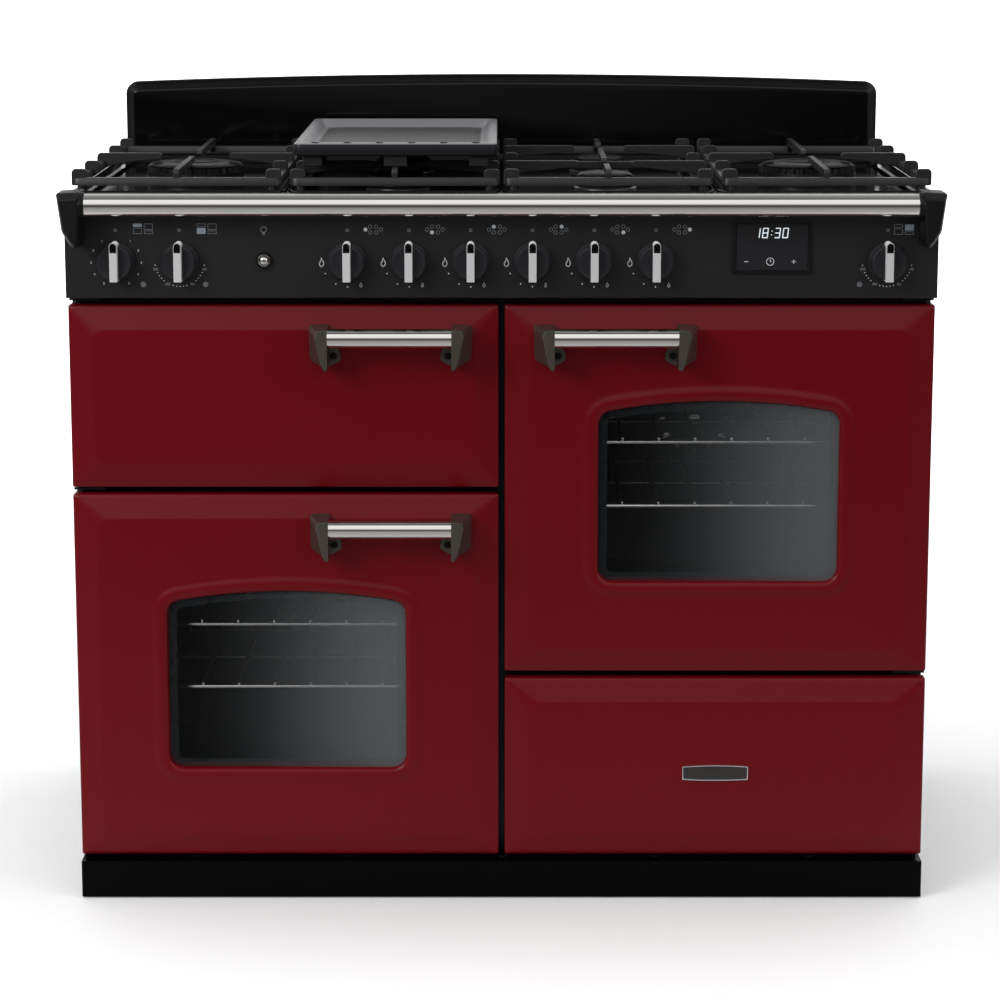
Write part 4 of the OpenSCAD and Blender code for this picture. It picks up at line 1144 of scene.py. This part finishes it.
def shelf_fronts():
    """Bright front wire of each oven shelf, with the long wires' ends standing on it."""
    s = Shape()
    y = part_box("oven_shelves")[0][1] + 0.004
    for x0, levels in ((-0.5, (0.260, 0.345)), (0.05, (0.503, 0.588))):
        for z in levels:
            s.lathe((x0 + 0.008, y, z), (1, 0, 0), [(0, 0), (.0032, 0), (.0032, .434), (0, .434)],
                20)
            for i in range(10):
                s.lathe((x0 + 0.0115 + 0.0475 * i, y - 0.0002, z + 0.0018), (0, 0, 1), [(0, 0),
                    (.0026, .0004), (.0031, .0020), (.0026, .0036), (.0012, .0045), (0, .0047)],
                    14)
    s.make("shelf_front_wires", WIRE, ROOT)


shelf_fronts()


def seals():
    """Oven seals: a soft bead round each opening in the front frame."""
    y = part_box("front_frame")[0][1]
    for name, node in (("left_oven", "left_oven_liner"), ("right_oven", "right_oven_liner"),
                       ("grill", "grill_liner")):
        lo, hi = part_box(node)
        g = 0.007
        path = at_y(outline(lo[0] - g, lo[2] - g, hi[0] + g, hi[2] + g, 0.02, side=3, corner=6), y
            - 0.0008)
        Shape().tube(path, 0.0028, 10, closed=True).make(name + "_seal", RUBBER, ROOT)


seals()


def plinth_plugs():
    """Rubber plugs in the five holes of the plinth's top flange."""
    s = Shape()
    y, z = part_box("front_frame")[0][1] - 0.022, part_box("plinth")[1][2]
    for x in (-0.4, -0.2, 0.0, 0.2, 0.4):
        s.lathe((x, y, z), (0, 0, 1), [(0, -.0024), (.0086, -.0024), (.0086, 0), (.0096, .0002),
            (.0092, .0010), (0, .0014)], 20)
    s.make("plinth_plugs", RUBBER, ROOT)


plinth_plugs()


def screws():
    """Pan-head screws on the rear cover and the side panels' back edges."""
    s = Shape()
    pan_head = [(0, 0), (.0045, 0), (.0042, .0014), (.0024, .0024), (0, .0026)]
    lo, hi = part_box("rear_cover")
    inset = 0.014
    y = hi[1] - inset
    low_row = 0.07
    spots = [(x, z) for z in (0.10, 0.30, 0.50, 0.70, 0.86)
        for x in (lo[0] + inset, hi[0] - inset)]
    for x, z in spots + [(x, low_row) for x in (-0.36, -0.12, 0.12, 0.30)]:
        s.lathe((x, y, z), (0, 1, 0), pan_head, 16)
    s.make("rear_screws", GALV, ROOT)


screws()

# ------------------------------------------------------------------ floor, lights and camera


def floor_look(m):
    """Pale sweep with painted light: a glow seen only by the camera brightens it away from the
    appliance, and other rays meet a floor painted darker towards the front as a light falloff.
    """
    nt = Nodes(m.node_tree)
    coord = nt.new("TexCoord").outputs["Object"]
    xyz = nt.new("SeparateXYZ", [(0, coord)])
    seen = nt.new("LightPath").outputs["Is Camera Ray"]
    reach = 5.0
    near = nt.new("MapRange", [("Value", xyz.outputs["Y"]), ("From Min", -reach),
        ("From Max", 0.0)]).outputs["Result"]
    # painted light falloff: the floor that other rays meet darkens with distance in front
    room = nt.ramp([(1 + y / reach, v) for y, v in ((-5.0, 0.08), (-3.0, 0.14), (-1.2, 0.30),
        (-0.75, 0.34), (-0.35, 0.62))], near)
    # painted light: emission, seen only by the camera, that whitens the floor away from the
    # appliance
    away = nt.new("VectorMath", [(0, coord)], operation="LENGTH").outputs["Value"]
    glow = nt.new("Math", [(0, nt.smooth(away, (1.2, 3.2), (0.05, 0.75))), (1, seen)],
        operation="MULTIPLY")
    nt.set(m.node_tree.nodes["Principled BSDF"], [("Base Color",
        nt.mix(seen, room, (0.88, 0.88, 0.88, 1))), ("Emission Color", (1, 1, 1, 1)),
        ("Emission Strength", glow.outputs[0])])


def stage():
    far, near, wide, r = 6.0, -9.0, 9.0, 1.4
    prof = [(near, 0.0), (far - r, 0.0)]
    prof += [(far - r + r * sin(radians(a)), r - r * cos(radians(a))) for a in range(10, 91, 10)]
    prof.append((far, 7.0))
    me = bpy.data.meshes.new("floor")
    v = [(x, y, z) for x in (-wide, wide) for y, z in prof]
    n = len(prof)
    me.from_pydata(v, [], [(i, i + 1, n + i + 1, n + i) for i in range(n - 1)])
    for p in me.polygons:
        p.use_smooth = True
    m = material("floor_white", (0.86, 0.86, 0.86), rough=0.6, vary=0.005, rough_vary=0.05,
        patch=1, spec=0.2)
    floor_look(m)
    me.materials.append(m)
    ob = bpy.data.objects.new("floor", me)
    bpy.context.collection.objects.link(ob)


stage()


def area(name, place, aim, size, power, size_y=None, glossy=True):
    d = bpy.data.lights.new(name, "AREA")
    d.shape = "RECTANGLE"
    d.size = size
    d.size_y = size_y or size
    d.energy = power
    o = bpy.data.objects.new(name, d)
    o.location = place
    o.rotation_euler = (Vector(aim) - Vector(place)).to_track_quat("-Z", "Y").to_euler()
    bpy.context.collection.objects.link(o)
    o.visible_glossy = glossy


def studio():
    """Light room: bright wall band in front, dim ceiling; plain white where the camera sees it."""
    world = bpy.data.worlds.new("studio")
    world.use_nodes = True
    nt = Nodes(world.node_tree)
    coord = nt.new("TexCoord")
    xyz = nt.new("SeparateXYZ", [(0, coord.outputs["Generated"])])
    up = nt.new("Math", [(0, xyz.outputs["Z"]), (1, 0.5), (2, 0.5)],
        operation="MULTIPLY_ADD").outputs[0]
    ahead, around = (nt.ramp([((z + 1) / 2, v) for z, v in stops], up) for stops in ([(-1, 0.01),
        (-0.06, 0.01), (0.02, 0.12), (0.20, 0.40), (0.30, 1.0), (0.84, 1.1), (0.88, 0.5),
        (0.91, 0.04), (1, 0.03)], [(-1, 0.3), (0.0, 0.3), (0.18, 0.4), (0.45, 0.85), (0.7, 0.7),
        (1, 0.24)]))
    front = nt.smooth(xyz.outputs["Y"], (-0.10, -0.45))
    seen = nt.new("LightPath").outputs["Is Camera Ray"]
    room = nt.mix(front, around, ahead)
    nt.set(world.node_tree.nodes["Background"], [(0, nt.mix(seen, room, (1.12, 1.12, 1.12, 1))),
        (1, 1.0)])
    return world


area("key_left", (-2.4, -2.6, 2.3), (0, -0.2, 0.5), 1.6, 58, 1.6)
area("fill_right", (3.0, -2.4, 1.6), (0.2, -0.2, 0.5), 1.2, 10, 2.0)
area("top", (0, 0.1, 3.0), (0, 0, 0.9), 2.6, 58, 1.4, glossy=False)
area("backdrop_left", (-2.5, 3.6, 3.2), (-1.0, 6.0, 0.8), 2.0, 90)
area("backdrop_right", (2.5, 3.6, 3.2), (1.0, 6.0, 0.8), 2.0, 90)
bpy.context.scene.world = studio()
bpy.context.scene.view_settings.view_transform = "Standard"

cam = bpy.data.cameras.new("camera")
cam.sensor_width = 36.0
cam.lens = 104.134  # mm, for the angle of view that the fitted camera has
cam.shift_y = -0.08
cam.clip_end = 60
cam_ob = bpy.data.objects.new("camera", cam)
DISTANCE, EYE, TILT = 3.600, 1.280, 10.189  # from the door face, above the floor, degrees down
cam_ob.location = (-0.002, FACE - DISTANCE, EYE)
cam_ob.rotation_euler = (radians(90 - TILT), 0, 0)
bpy.context.collection.objects.link(cam_ob)
bpy.context.scene.camera = cam_ob
